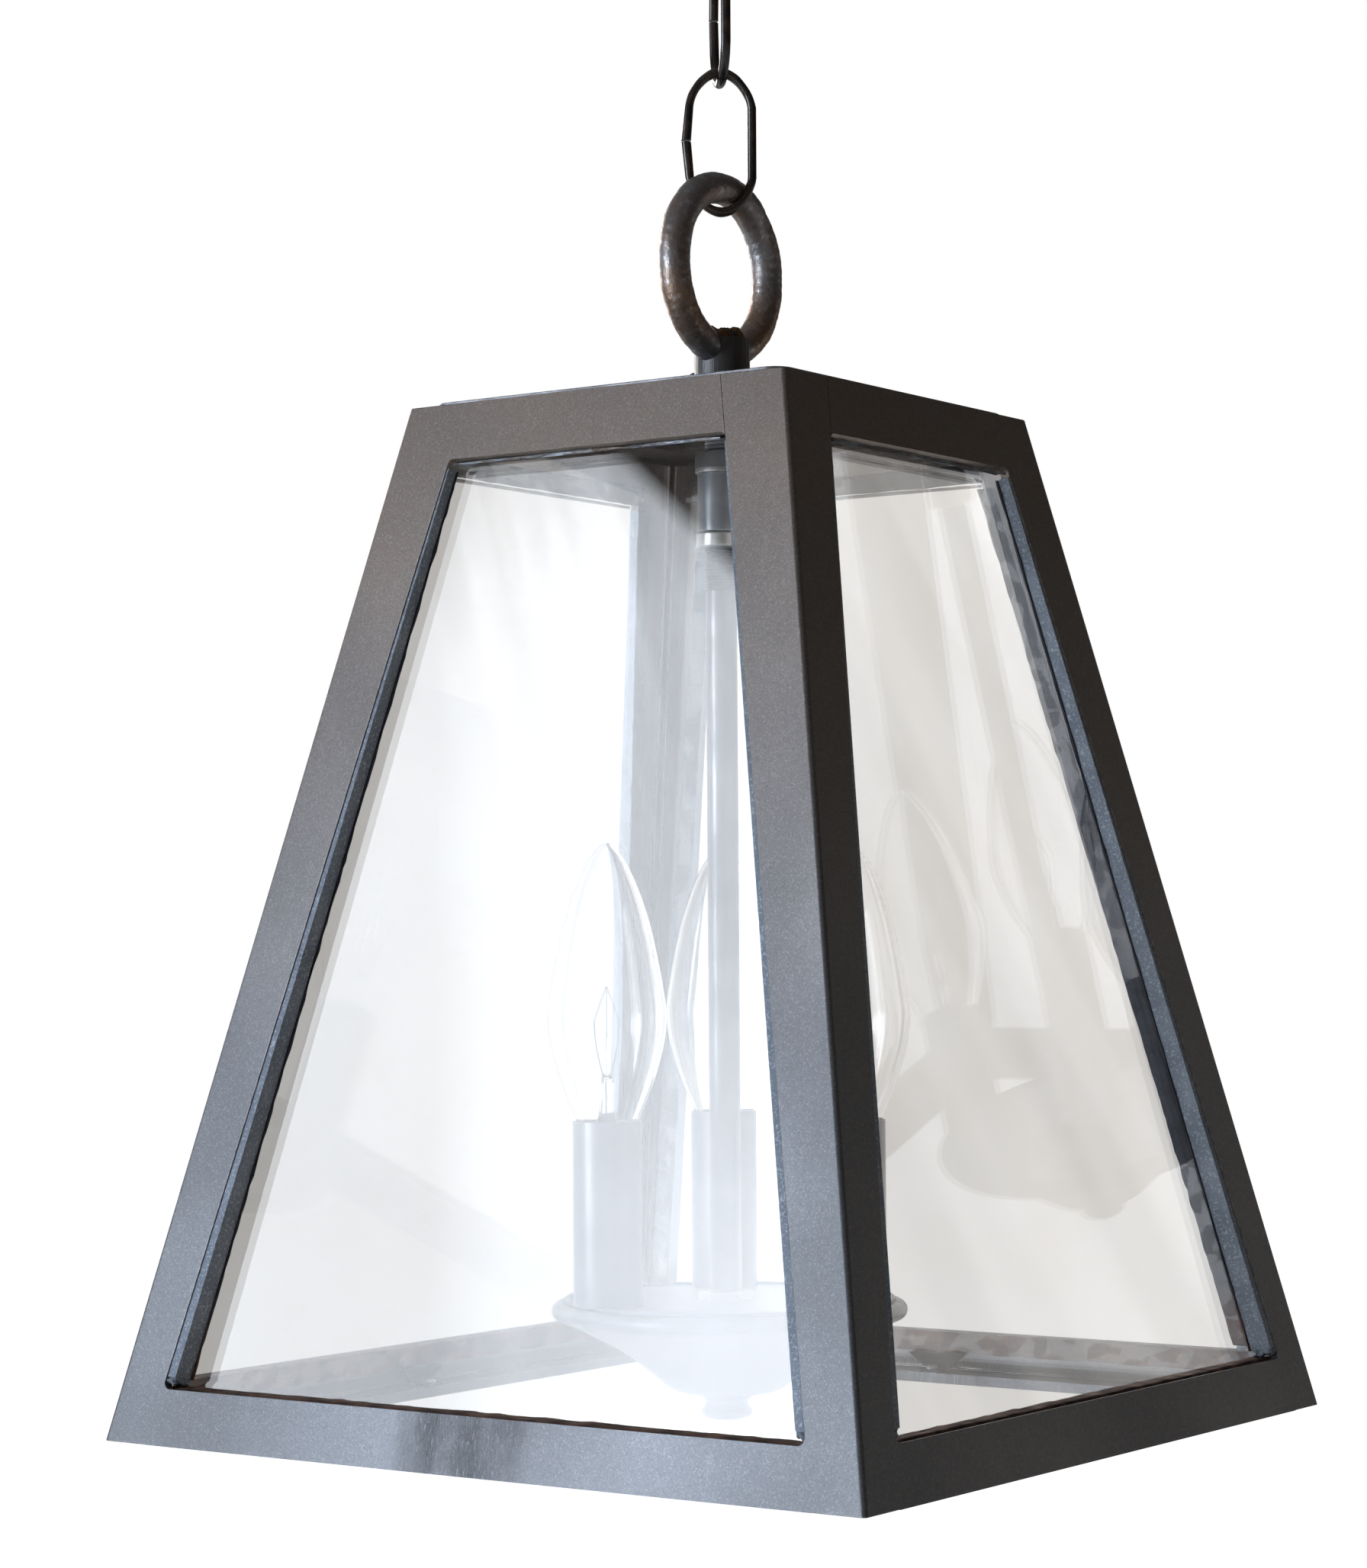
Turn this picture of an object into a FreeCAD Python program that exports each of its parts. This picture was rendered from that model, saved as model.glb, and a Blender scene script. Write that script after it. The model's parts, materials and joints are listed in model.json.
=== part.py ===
import FreeCAD, Part
import math
import os

from FreeCAD import Vector

# Hanging lantern: a tapered square steel frame with four glass panes, a welded
# hanging ring held by two chain links, and a three-candle cluster on a stem.
# Everything is drawn with z = 0 at the bottom edge of the frame and the stem on
# the z axis, then lowered so that the origin is where the top link hangs.

# ---------------------------------------------------------------- frame
frame_height = 305.0
base_side = 263.0
top_side = 135.0
steel = 3.2                    # thickness of posts, rails and flanges
stile_base = 16.2              # face width of a post, measured square to its edge
stile_top = 21.5
base_rail_width = 16.4         # along the slope
top_rail_width = 17.4
flange_width = 19.0            # inward flange of the rails, from the outer face
post_edge_radius = 1.5
window_corner_radius = 2.0

# ---------------------------------------------------------------- glazing
pane_thickness = 3.0
pane_gap = 0.6                 # clearance round each pane
glass_depth_base = 8.0         # outer face of the glass behind the frame's face
glass_depth_top = 4.4
seal = 0.6                     # bedding strip between stop and glass
seal_show = 0.5                # how far the strip shows past the stop
stop_show_base = 3.3           # how far a glass stop stands into the window
stop_show_top = 0.5
stop_recess = 0.4              # front of the stop behind the frame's face
stop_lip = 4.0                 # width of the stop behind the post
stop_end_gap = 3.6             # open gap below each stop
sill_overlap = 5.0             # how far the bedding reaches behind a rail
sill_show = 0.8

# ---------------------------------------------------------------- glass clips
clip_sheet = 1.0
clip_height = 6.4
clip_wing = 10.5               # half width at the top of the tail
clip_waist = 3.0
clip_foot = 5.0
clip_screw_radius = 1.3
clip_head_radius = 2.2
clip_head_height = 1.2

# ---------------------------------------------------------------- cap and ring
cap_inset = 4.5                # edge of the cap plate inside the frame's top edge
cap_corner = 6.0
cap_sheet = 1.5
boss_wall = 3.75               # boss past the side of the ring's bar
boss_height = 21.2
ring_rod = 9.5                 # diameter of the round bar
ring_outer = 59.6
ring_sink = 13.0               # lowest point of the ring above the cap plate
bead_width = 2.05              # weld past the side of the ring's bar
bead_cover = 1.7               # weld over the ring's inner side
inlet_height = 7.0             # axis of the wire inlet above the cap plate
inlet_bore = 2.6               # radius
bushing_wall = 0.8
bushing_flange = 1.8
bushing_inside = 5.0           # inner end of the bush from the stem's axis
bushing_lip = 1.7
wire_room = 1.0                # headroom over the inlet inside the boss

# ---------------------------------------------------------------- chain
link_wire = 3.1
link_play = 8.8                # room beside the ring inside a link
link_pitch = 43.0              # between the centres of its end bends
link_gap = 0.15                # where one link rests in the other
ring_gap = 0.0993              # between the ring and the link, which cross at 45 degrees
link_seam = 0.5
link_turn_lower = 45.0         # plane of the link, from +X
link_turn_upper = -45.0

# ---------------------------------------------------------------- stem
pipe_radius = 4.75             # plain lamp pipe
thread_radius = 4.85           # its threaded end
pipe_bore = 3.2
thread_clearance = 0.1
nipple_above_cap = 3.2
nipple_drop = 31.0             # lower end of the nipple below the frame's top
stem_nut_drop = 17.0
stem_nut_height = 5.0
stem_nut_flats = 13.5
cap_nut_height = 3.0
washer_radius = 7.65
washer_sheet = 1.5
coupling_radius = 7.0
coupling_height = 18.0
collar_radius = 7.4
collar_height = 4.9
pipe_thread_drop = 54.4
pipe_outlet = 2.0              # radius of the wire outlets in the pipe

# ---------------------------------------------------------------- cluster
candle_count = 3
candle_circle = 40.5           # radius of the circle the candles stand on
first_candle_turn = 5.0
pan_top = 36.8
pan_sheet = 1.2
pan_disc_radius = 49.2
pan_bead = 2.65                # radius of the rolled rim
pan_bead_drop = 3.1            # centre of the rim below the pan's top
pan_nut_height = 2.6
pan_nut_flats = 14.3
cover_sheet = 1.2
cover_foot = 8.5
cover_hub_radius = 8.4
finial_foot = 0.9
finial_collar = 8.0
finial_neck = 6.4
finial_knob = 7.9
finial_stud = 3.0
finial_stud_length = 10.0

# ---------------------------------------------------------------- candles
sleeve_radius = 10.25
sleeve_wall = 0.6
sleeve_top = 91.5
post_radius = 4.75
post_foot = 31.5
post_nut_flats = 12.0
post_nut_height = 2.2
socket_foot = 62.0
socket_room = 1.25             # between the socket and the sleeve
socket_top = 83.5
socket_floor = 2.5
socket_wall = 1.65
shell_wall = 0.45
shell_clearance = 0.05
lead_radius = 1.3
lead_bend = 4.0
lead_turn = Vector(candle_circle, 0, 29.3)     # where a lead turns in to the middle
splice_mouth = Vector(26.0, 0, 23.0)
splice_length = 14.5
splice_mouth_radius = 3.8
splice_tip_radius = 2.4

# ---------------------------------------------------------------- bulbs
bulb_tip = 174.0
bulb_radius = 17.45
bulb_wall = 0.7
bulb_clearance = 0.4           # glass to the mouth of the sleeve
bulb_foot = 67.0
cap_clearance = 0.3            # screw base (E12) inside the socket's shell
cap_top = 84.6
neck_swell = 0.35              # neck of the glass past the screw base
stem_foot_room = 1.0           # pressed stem inside the neck
stem_glass_top = 104.0
bead_glass_top = 116.0
filament_spread = 6.2
filament_foot = 121.0
filament_apex = 131.5
support_wire = 0.3
filament_wire = 0.2

# ---------------------------------------------------------------- derived sizes
slope = math.atan2((base_side - top_side) / 2, frame_height)
lean = math.atan2((base_side - top_side) / 2, frame_height / math.cos(slope))
inward = Vector(0, math.cos(slope), -math.sin(slope))
base_rail_top = base_rail_width * math.cos(slope)
top_rail_foot = frame_height - top_rail_width * math.cos(slope)
cap_foot = frame_height
cap_top_face = cap_foot + cap_sheet
ring_radius = (ring_outer - ring_rod) / 2
boss_radius = ring_rod / 2 + boss_wall
bead_radius = ring_rod / 2 + bead_width
bead_height = ring_sink + ring_rod + bead_cover - boss_height
ring_centre = cap_top_face + ring_sink + ring_outer / 2
link_radius = (ring_rod + link_play + link_wire) / 2
ring_dip = (ring_rod / 2) ** 2 / ring_radius      # fall of the ring across the link's bend
lower_link_foot = ring_centre + ring_radius - (ring_rod + link_wire) / 2 - ring_dip - ring_gap
lower_link_head = lower_link_foot + link_pitch
upper_link_foot = lower_link_head - link_wire - link_gap
upper_link_head = upper_link_foot + link_pitch
hang_height = upper_link_head - link_wire / 2
cap_side = top_side - 2 * cap_inset
stem_bore = thread_radius + thread_clearance
nipple_foot = frame_height - nipple_drop
stem_nut_foot = frame_height - stem_nut_drop
pipe_thread_foot = frame_height - pipe_thread_drop
washer_foot = stem_nut_foot - washer_sheet
coupling_foot = washer_foot - coupling_height
sleeve_bore = sleeve_radius - sleeve_wall
socket_radius = sleeve_bore - socket_room
socket_bore = socket_radius - socket_wall
shell_radius = socket_bore - shell_clearance
cap_radius = shell_radius - shell_wall - cap_clearance
neck_radius = cap_radius + neck_swell
pan_underside = pan_top - pan_sheet
cover_top = pan_top - pan_bead_drop - pan_bead
reach = 4 * base_side          # larger than the object, for cutting tools

side_names = ["front", "right", "back", "left"]
corner_names = ["front_right", "back_right", "back_left", "front_left"]


# ---------------------------------------------------------------- helpers
def export(name, *solids):
    """Write one node, lowered so that the origin is the hanging point."""
    shape = solids[0] if len(solids) == 1 else Part.makeCompound(list(solids))
    shape.translate(Vector(0, 0, -hang_height))
    shape.exportStep("parts/" + name + ".step")


def turned(shape, degrees):
    """A copy turned about the stem's axis."""
    copy = shape.copy()
    copy.rotate(Vector(0, 0, 0), Vector(0, 0, 1), degrees)
    return copy


def mirrored(shape):
    return shape.mirror(Vector(0, 0, 0), Vector(1, 0, 0))


def slab(low, high, half=reach):
    """A square block between two heights."""
    return Part.makeBox(2 * half, 2 * half, high - low, Vector(-half, -half, low))


def disc(radius, low, high, centre=(0, 0)):
    return Part.makeCylinder(radius, high - low, Vector(centre[0], centre[1], low))


def tube(outer, inner, low, high, centre=(0, 0)):
    return disc(outer, low, high, centre).cut(disc(inner, low - 1, high + 1, centre))


def polygon_face(points):
    return Part.Face(Part.makePolygon(points + [points[0]]))


def block_between(section_a, section_b):
    """A solid whose two ends are the polygons given."""
    wires = [Part.makePolygon(s + [s[0]]) for s in (section_a, section_b)]
    return Part.makeLoft(wires, True, True)


def revolved(edges):
    """A solid of revolution about the z axis from edges in the xz plane."""
    face = Part.Face(Part.Wire(Part.__sortEdges__(edges)))
    return face.revolve(Vector(0, 0, 0), Vector(0, 0, 1), 360)


def lines(points):
    """Straight edges through (radius, height) points."""
    ends = [Vector(r, 0, z) for r, z in points]
    return [Part.makeLine(a, b) for a, b in zip(ends, ends[1:])]


def turned_profile(points):
    return revolved(lines(points + [points[0]]))


def hex_nut(flats, low, high, bore, centre=(0, 0)):
    """A nut with one pair of flats square to the x axis."""
    corner = flats / math.sqrt(3)
    ring = [Vector(centre[0] + corner * math.cos(math.radians(30 + 60 * k)),
                   centre[1] + corner * math.sin(math.radians(30 + 60 * k)), low)
            for k in range(6)]
    prism = polygon_face(ring).extrude(Vector(0, 0, high - low))
    edge = (high - low) * 0.2
    cone = Part.makeCone(corner + (high - low) - edge, corner - edge, high - low,
                         Vector(centre[0], centre[1], low))
    return prism.common(cone).cut(disc(bore, low - 1, high + 1, centre))


def rod(start, end, radius):
    return Part.makeCylinder(radius, start.distanceToPoint(end), start, end - start)


def bent_tube(points, radius, bend):
    """A round tube of straight runs joined by tangent arcs."""
    edges = []
    last = points[0]
    for before, corner, after in zip(points, points[1:], points[2:]):
        way_in = (corner - before).normalize()
        way_out = (after - corner).normalize()
        half_turn = way_in.getAngle(way_out) / 2
        cut = bend * math.tan(half_turn)
        start = corner - way_in * cut
        end = corner + way_out * cut
        middle_way = (way_out - way_in).normalize()
        middle = corner + middle_way * (bend / math.cos(half_turn) - bend)
        edges.append(Part.makeLine(last, start))
        edges.append(Part.Arc(start, middle, end).toShape())
        last = end
    edges.append(Part.makeLine(last, points[-1]))
    circle = Part.Wire(Part.makeCircle(radius, points[0], points[1] - points[0]))
    return Part.Wire(edges).makePipeShell([circle], True, False)


# ---------------------------------------------------------------- frame geometry
def half_side(z):
    return (base_side - (base_side - top_side) * z / frame_height) / 2


def on_face(u, z, depth=0.0):
    """A point on the front face: u across, z up, depth square into the face."""
    return Vector(u, -half_side(z), z) + inward * depth


def between(low, high, z):
    return low + (high - low) * z / frame_height


def window_edge(z):
    """Half width of the window where the face is at height z."""
    return half_side(z) - between(stile_base, stile_top, z) / math.cos(lean)


def glass_depth(z):
    return between(glass_depth_base, glass_depth_top, z)


def face_plate(points):
    """A plate of the frame's thickness behind an outline given as (u, z)."""
    return polygon_face([on_face(u, z) for u, z in points]).extrude(inward * steel)


def inner_block():
    """The space inside the frame's plates."""
    wall = steel / math.cos(slope)
    sections = []
    for z in (0.0, frame_height):
        h = half_side(z) - wall
        sections.append([Vector(-h, -h, z), Vector(h, -h, z), Vector(h, h, z), Vector(-h, h, z)])
    return block_between(*sections)


def corner_post():
    """The post at the corner (+x, -y): two legs, one on each face."""
    low, high = -2 * steel, frame_height + 2 * steel
    leg = face_plate([(window_edge(low), low), (half_side(low), low),
                      (half_side(high), high), (window_edge(high), high)])
    post = leg.fuse(turned(mirrored(leg), 90)).common(slab(0, frame_height)).removeSplitter()
    outer = [e for e in post.Edges
             if all(abs(v.X - half_side(v.Z)) + abs(v.Y + half_side(v.Z)) < 0.01 for v in e.Vertexes)]
    return post.makeFillet(post_edge_radius, outer)


def corner_fillet(z, up):
    """The small rounded web in the window's corner, on the right of the rail."""
    r = window_corner_radius
    edge = window_edge(z)
    corner = face_plate([(edge, z), (edge - r, z), (window_edge(z + up * r), z + up * r)])
    centre = on_face(window_edge(z + up * r) - r, z + up * r)
    round_cut = Part.makeCylinder(r, 4 * steel, centre - inward * steel, inward)
    return corner.cut(round_cut)


def flange(low, high, side):
    """The front rail's inward flange between two heights, mitred at its ends."""
    inner_half = side / 2 - flange_width
    ring = inner_block().common(slab(low, high)).cut(slab(low - 1, high + 1, inner_half))
    wedge = polygon_face([Vector(0, 0, low), Vector(-reach, -reach, low), Vector(reach, -reach, low)])
    return ring.common(wedge.extrude(Vector(0, 0, high - low)))


def rail(plate_low, plate_high, window_z, up, flange_low, side):
    """An angle-iron rail between two posts, with rounded ends at the window."""
    plate = face_plate([(-window_edge(plate_low), plate_low), (window_edge(plate_low), plate_low),
                        (window_edge(plate_high), plate_high), (-window_edge(plate_high), plate_high)])
    plate = plate.common(slab(0, frame_height))
    web = corner_fillet(window_z, up)
    shelf = flange(flange_low, flange_low + steel, side)
    return plate.fuse([shelf, web, mirrored(web)]).removeSplitter()


def base_rail():
    return rail(-2 * steel, base_rail_top, base_rail_top, 1, 0.0, base_side)


def top_rail():
    return rail(top_rail_foot, frame_height + 2 * steel, top_rail_foot, -1,
                frame_height - steel, top_side)


# ---------------------------------------------------------------- glazing
def glass_pane():
    foot = steel + pane_gap + (glass_depth_base + pane_thickness) * math.sin(slope)
    head = frame_height - steel - pane_gap
    corners = []
    for z, sign in ((foot, -1), (foot, 1), (head, 1), (head, -1)):
        half = half_side(z) - (glass_depth(z) + pane_thickness) / math.cos(slope) - pane_gap
        corners.append(on_face(sign * half, z, glass_depth(z)))
    normal = (corners[3] - corners[0]).cross(corners[1] - corners[0]).normalize()
    return polygon_face(corners).extrude(normal * pane_thickness)


def stop_show(z):
    return between(stop_show_base, stop_show_top, z)


def stop_ends():
    return base_rail_top + stop_end_gap, top_rail_foot - window_corner_radius - seal


def glass_stop():
    """The rebated bar along the window's right edge."""
    sections = []
    for z in stop_ends():
        edge = window_edge(z)
        back = glass_depth(z) - seal
        outline = [(edge - stop_show(z), stop_recess), (edge, stop_recess), (edge, steel),
                   (edge + stop_lip, steel), (edge + stop_lip, back), (edge - stop_show(z), back)]
        sections.append([on_face(u, z, d) for u, d in outline])
    return block_between(*sections)


def side_seal():
    """The bedding strip between the right stop and the glass."""
    sections = []
    for z in stop_ends():
        low, high = window_edge(z) - stop_show(z) - seal_show, window_edge(z) + stop_lip
        outline = [(low, glass_depth(z) - seal), (high, glass_depth(z) - seal),
                   (high, glass_depth(z)), (low, glass_depth(z))]
        sections.append([on_face(u, z, d) for u, d in outline])
    return block_between(*sections)


def rail_seal(edge_z, hidden_z, up):
    """The bedding between a rail and the glass, just showing past the rail."""
    shown = edge_z + up * sill_show
    level = shown + (glass_depth(shown) - steel) * math.sin(slope) * (up > 0)
    half = window_edge(edge_z) + seal_show
    outline = [(shown, steel), (level, glass_depth(level)),
               (hidden_z, glass_depth(hidden_z)), (hidden_z, steel)]
    return block_between([on_face(-half, z, d) for z, d in outline],
                         [on_face(half, z, d) for z, d in outline])


def side_seals():
    strip = side_seal()
    return [strip, mirrored(strip),
            rail_seal(base_rail_top, base_rail_top - sill_overlap, 1),
            rail_seal(top_rail_foot, top_rail_foot + sill_overlap, -1)]


# ---------------------------------------------------------------- glass clips
clip_screw_y = flange_width - base_side / 2 - clip_foot / 2


def glass_clip():
    """A fan-tailed tab that leans on the inside of the pane's foot."""
    low = steel
    half_tail = [(clip_waist, 0), (clip_wing - 3, 0.55), (clip_wing, 0.9), (clip_wing - 3.5, 1), (0, 0.86)]
    outline = half_tail + [(-x, rise) for x, rise in half_tail[-2::-1]]
    back = glass_depth_base + pane_thickness + seal / 2
    tail = [on_face(x, low + clip_height * rise + back * math.sin(slope), back) for x, rise in outline]
    tail = polygon_face(tail).extrude(Vector(0, clip_sheet, 0))
    heel = -half_side(low + back * math.sin(slope)) + back * math.cos(slope)
    foot = Part.makeBox(2 * clip_waist, clip_screw_y + clip_foot / 2 - heel, clip_sheet,
                        Vector(-clip_waist, heel, low))
    hole = disc(clip_screw_radius, low - 1, low + 2 * clip_sheet, (0, clip_screw_y))
    return tail.fuse(foot).removeSplitter().cut(hole)


def clip_screw():
    """A round-head screw through the clip into the rail's flange."""
    top = steel + clip_sheet
    shank = disc(clip_screw_radius, 0.4, top, (0, clip_screw_y))
    head = disc(clip_head_radius, top, top + clip_head_height, (0, clip_screw_y))
    head = head.makeFillet(clip_head_height * 0.7, [head.Edges[0]])
    slot = Part.makeBox(2 * clip_head_radius, 0.5, 0.5,
                        Vector(-clip_head_radius, clip_screw_y - 0.25, top + clip_head_height - 0.5))
    return shank.fuse(head).cut(slot)


def clip_screw_hole():
    return disc(clip_screw_radius, 0.4, steel + 1, (0, clip_screw_y))


# ---------------------------------------------------------------- cap and ring
def cap_plate():
    plate = slab(cap_foot, cap_top_face, cap_side / 2)
    uprights = [e for e in plate.Edges if abs(e.Vertexes[0].Z - e.Vertexes[1].Z) > 0.1]
    plate = plate.makeFillet(cap_corner, uprights)
    return plate.cut(disc(stem_bore, cap_foot - 1, cap_top_face + 1))


def hanging_ring():
    return Part.makeTorus(ring_radius, ring_rod / 2, Vector(0, 0, ring_centre), Vector(1, 0, 0))


def ring_boss():
    inlet = cap_top_face + inlet_height
    hole_radius = inlet_bore + bushing_wall
    boss = disc(boss_radius, cap_top_face, cap_top_face + boss_height)
    wire_way = disc(stem_bore, cap_top_face - 1, inlet + hole_radius + wire_room)
    side_hole = Part.makeCylinder(hole_radius, boss_radius + 1, Vector(0, 0, inlet), Vector(-1, 0, 0))
    return boss.cut([wire_way, side_hole, hanging_ring()])


def weld_bead():
    low = cap_top_face + boss_height
    bead = disc(bead_radius, low, low + bead_height)
    rim = [e for e in bead.Edges if len(e.Vertexes) == 1 and e.Vertexes[0].Z > low + 0.1]
    return bead.makeFillet(bead_height * 0.8, rim).cut(hanging_ring())


def wire_bushing():
    """The insulating bush in the side of the boss, where the cord comes in."""
    inlet = Vector(0, 0, cap_top_face + inlet_height)
    outer = boss_radius + bushing_lip
    sleeve = Part.makeCylinder(inlet_bore + bushing_wall, outer - bushing_inside,
                               inlet - Vector(bushing_inside, 0, 0), Vector(-1, 0, 0))
    lip = Part.makeCylinder(inlet_bore + bushing_wall + bushing_flange, bushing_lip,
                            inlet - Vector(boss_radius, 0, 0), Vector(-1, 0, 0))
    bore = Part.makeCylinder(inlet_bore, 4 * boss_radius, inlet, Vector(-1, 0, 0))
    return sleeve.fuse(lip).removeSplitter().cut(bore)


# ---------------------------------------------------------------- chain
def chain_link(foot, turn):
    """An oval link of round wire, with the open butt of its bend on one limb."""
    wire = link_wire / 2
    low_centre = Vector(0, 0, foot + link_radius)
    high_centre = Vector(0, 0, foot + link_pitch - link_radius)
    across = Vector(link_radius, 0, 0)
    pieces = []
    for centre, sweep in ((low_centre, 180), (high_centre, -180)):
        end = Part.Face(Part.Wire(Part.makeCircle(wire, centre + across, Vector(0, 0, 1))))
        pieces.append(end.revolve(centre, Vector(0, 1, 0), sweep))
    for side in (1, -1):
        pieces.append(rod(low_centre + across * side, high_centre + across * side, wire))
    link = pieces[0].fuse(pieces[1:]).removeSplitter()
    middle = foot + link_pitch / 2
    seam = Part.makeBox(2 * link_wire, 2 * link_wire, link_seam,
                        Vector(-link_radius - link_wire, -link_wire, middle - link_seam / 2))
    return turned(link.cut(seam), turn)


# ---------------------------------------------------------------- stem
def top_nipple():
    return tube(pipe_radius, pipe_bore, nipple_foot, cap_top_face + nipple_above_cap)


def stem_nuts():
    return [hex_nut(stem_nut_flats, stem_nut_foot, stem_nut_foot + stem_nut_height, stem_bore),
            hex_nut(stem_nut_flats, cap_foot - cap_nut_height, cap_foot, stem_bore)]


def stem_washer():
    return tube(washer_radius, stem_bore, washer_foot, stem_nut_foot)


def coupling_tube():
    return tube(coupling_radius, stem_bore, coupling_foot, washer_foot)


def coupling_collar():
    collar = tube(collar_radius, stem_bore, coupling_foot - collar_height, coupling_foot)
    rims = [e for e in collar.Edges if e.Curve.TypeId == "Part::GeomCircle"
            and abs(e.Curve.Radius - collar_radius) < 0.01]
    return collar.makeChamfer(0.6, rims)


def centre_pipe():
    foot = cover_foot + cover_sheet
    plain = disc(pipe_radius, foot, pipe_thread_foot)
    thread = disc(thread_radius, pipe_thread_foot, nipple_foot - pane_gap)
    pipe = plain.fuse(thread).cut(disc(pipe_bore, 0, frame_height))
    height = (foot + pan_underside) / 2
    outlets = [turned(rod(Vector(0, 0, height), Vector(2 * pipe_radius, 0, height), pipe_outlet),
                      first_candle_turn + 60 + 120 * k) for k in range(3)]
    return pipe.cut(outlets)


# ---------------------------------------------------------------- cluster
def candle_turn(k):
    return first_candle_turn + 360.0 / candle_count * k


def round_the_candles(solid):
    """One copy of a solid drawn at +x for each candle."""
    return [turned(solid, candle_turn(k)) for k in range(candle_count)]


def candle_holes(radius):
    return round_the_candles(disc(radius, 0, sleeve_top, (candle_circle, 0)))


def cluster_pan():
    """The round plate the candles stand on, with a rolled rim."""
    bead_z = pan_top - pan_bead_drop
    dish = turned_profile([(stem_bore, pan_top), (pan_disc_radius, pan_top),
                           (pan_disc_radius + 0.7, pan_top - 0.7),
                           (pan_disc_radius + 0.7, bead_z), (pan_disc_radius - 0.5, bead_z),
                           (pan_disc_radius - 0.5, pan_underside), (stem_bore, pan_underside)])
    rim = Part.makeTorus(pan_disc_radius + 0.7, pan_bead, Vector(0, 0, bead_z))
    return dish.fuse(rim).removeSplitter().cut(candle_holes(post_radius + thread_clearance))


def cluster_cover():
    """The ogee dish under the pan: a shell with a hole for the finial's stud."""
    rim = pan_disc_radius + 0.6
    hub = cover_hub_radius
    outer = [(hub, cover_foot), (hub + 4.6, cover_foot + 0.5), (hub + 8.6, cover_foot + 1.8),
             (hub + 13.1, cover_foot + 5.3), (rim - 6.4, cover_top - 3.0), (rim, cover_top)]
    inner = [(r - 0.6, z + cover_sheet) for r, z in outer[:-1]] + [(rim - 1.4, cover_top)]
    hole = finial_stud + thread_clearance
    return turned_profile([(hole, cover_foot)] + outer + inner[::-1] + [(hole, cover_foot + cover_sheet)])


def finial():
    """The turned knob that holds the cover, screwed up into the pipe."""
    top = cover_foot
    height = top - finial_foot
    bottom = Vector(finial_neck, 0, finial_foot)
    bulge = Vector(finial_knob, 0, finial_foot + height * 0.22)
    above = Vector(finial_neck + 0.6, 0, finial_foot + height * 0.44)
    waist = Vector(finial_neck, 0, finial_foot + height * 0.62)
    collar = Vector(finial_collar, 0, top - height * 0.06)
    stud_top = top + finial_stud_length
    edges = lines([(0, finial_foot), (finial_neck, finial_foot)])
    edges.append(Part.Arc(bottom, bulge, above).toShape())
    edges.append(Part.makeLine(above, waist))
    edges.append(Part.makeLine(waist, collar))
    edges += lines([(collar.x, collar.z), (finial_collar, top), (finial_stud, top),
                    (finial_stud, stud_top), (0, stud_top), (0, finial_foot)])
    return revolved(edges)


def pan_nuts():
    return [hex_nut(pan_nut_flats, pan_top, pan_top + pan_nut_height, stem_bore),
            hex_nut(pan_nut_flats, pan_underside - pan_nut_height, pan_underside, stem_bore)]


# ---------------------------------------------------------------- candles
def candle_sleeve():
    return tube(sleeve_radius, sleeve_bore, pan_top, sleeve_top, (candle_circle, 0))


def candle_post():
    return tube(post_radius, pipe_bore, post_foot, socket_foot, (candle_circle, 0))


def post_nuts():
    centre = (candle_circle, 0)
    bore = post_radius + thread_clearance
    return [hex_nut(post_nut_flats, pan_top, pan_top + post_nut_height, bore, centre),
            hex_nut(post_nut_flats, pan_underside - post_nut_height, pan_underside, bore, centre)]


def socket_body():
    centre = (candle_circle, 0)
    floor = socket_foot + socket_floor
    body = disc(socket_radius, socket_foot, socket_top, centre)
    return body.cut([disc(socket_bore, floor, socket_top + 1, centre),
                     disc(lead_radius, socket_foot - 1, socket_foot + 1.5, centre)])


def socket_shell():
    low = socket_foot + socket_floor + 1.6
    return tube(shell_radius, shell_radius - shell_wall, low, socket_top - 0.5, (candle_circle, 0))


def socket_contact():
    """The sprung centre contact on the socket's floor."""
    floor = socket_foot + socket_floor
    plate = disc(3.6, floor, floor + 0.6, (candle_circle, 0))
    dome = disc(1.6, floor + 0.6, floor + 1.6, (candle_circle, 0))
    return plate.fuse(dome)


def socket_lead():
    """The insulated twin lead from the socket down the post to its splice."""
    start = Vector(candle_circle, 0, socket_foot + 1.5)
    return bent_tube([start, lead_turn, splice_mouth], lead_radius, lead_bend)


def splice_cap():
    """The cone that covers the joined wires inside the cover."""
    way = (splice_mouth - lead_turn).normalize()
    return Part.makeCone(splice_mouth_radius, splice_tip_radius, splice_length, splice_mouth, way)


# ---------------------------------------------------------------- bulbs
def envelope_curve():
    """The flame shape's outer edge, from the tip to the mouth of the sleeve."""
    length = bulb_tip - sleeve_top
    shape = [(0.076, 0.355), (0.279, 0.722), (0.545, 0.974), (0.673, 1.0), (0.822, 0.848)]
    points = [Vector(0, 0, bulb_tip)]
    points += [Vector(bulb_radius * r, 0, bulb_tip - length * d) for d, r in shape]
    points.append(Vector(sleeve_bore - bulb_clearance, 0, sleeve_top))
    curve = Part.BSplineCurve()
    curve.interpolate(points, InitialTangent=Vector(1, 0, 0), FinalTangent=neck_way())
    return curve, points


def neck_way():
    """The way the glass runs from the sleeve's mouth down to the neck."""
    return Vector(neck_radius - sleeve_bore + bulb_clearance, 0, cap_top + 1.5 - sleeve_top).normalize()


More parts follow.
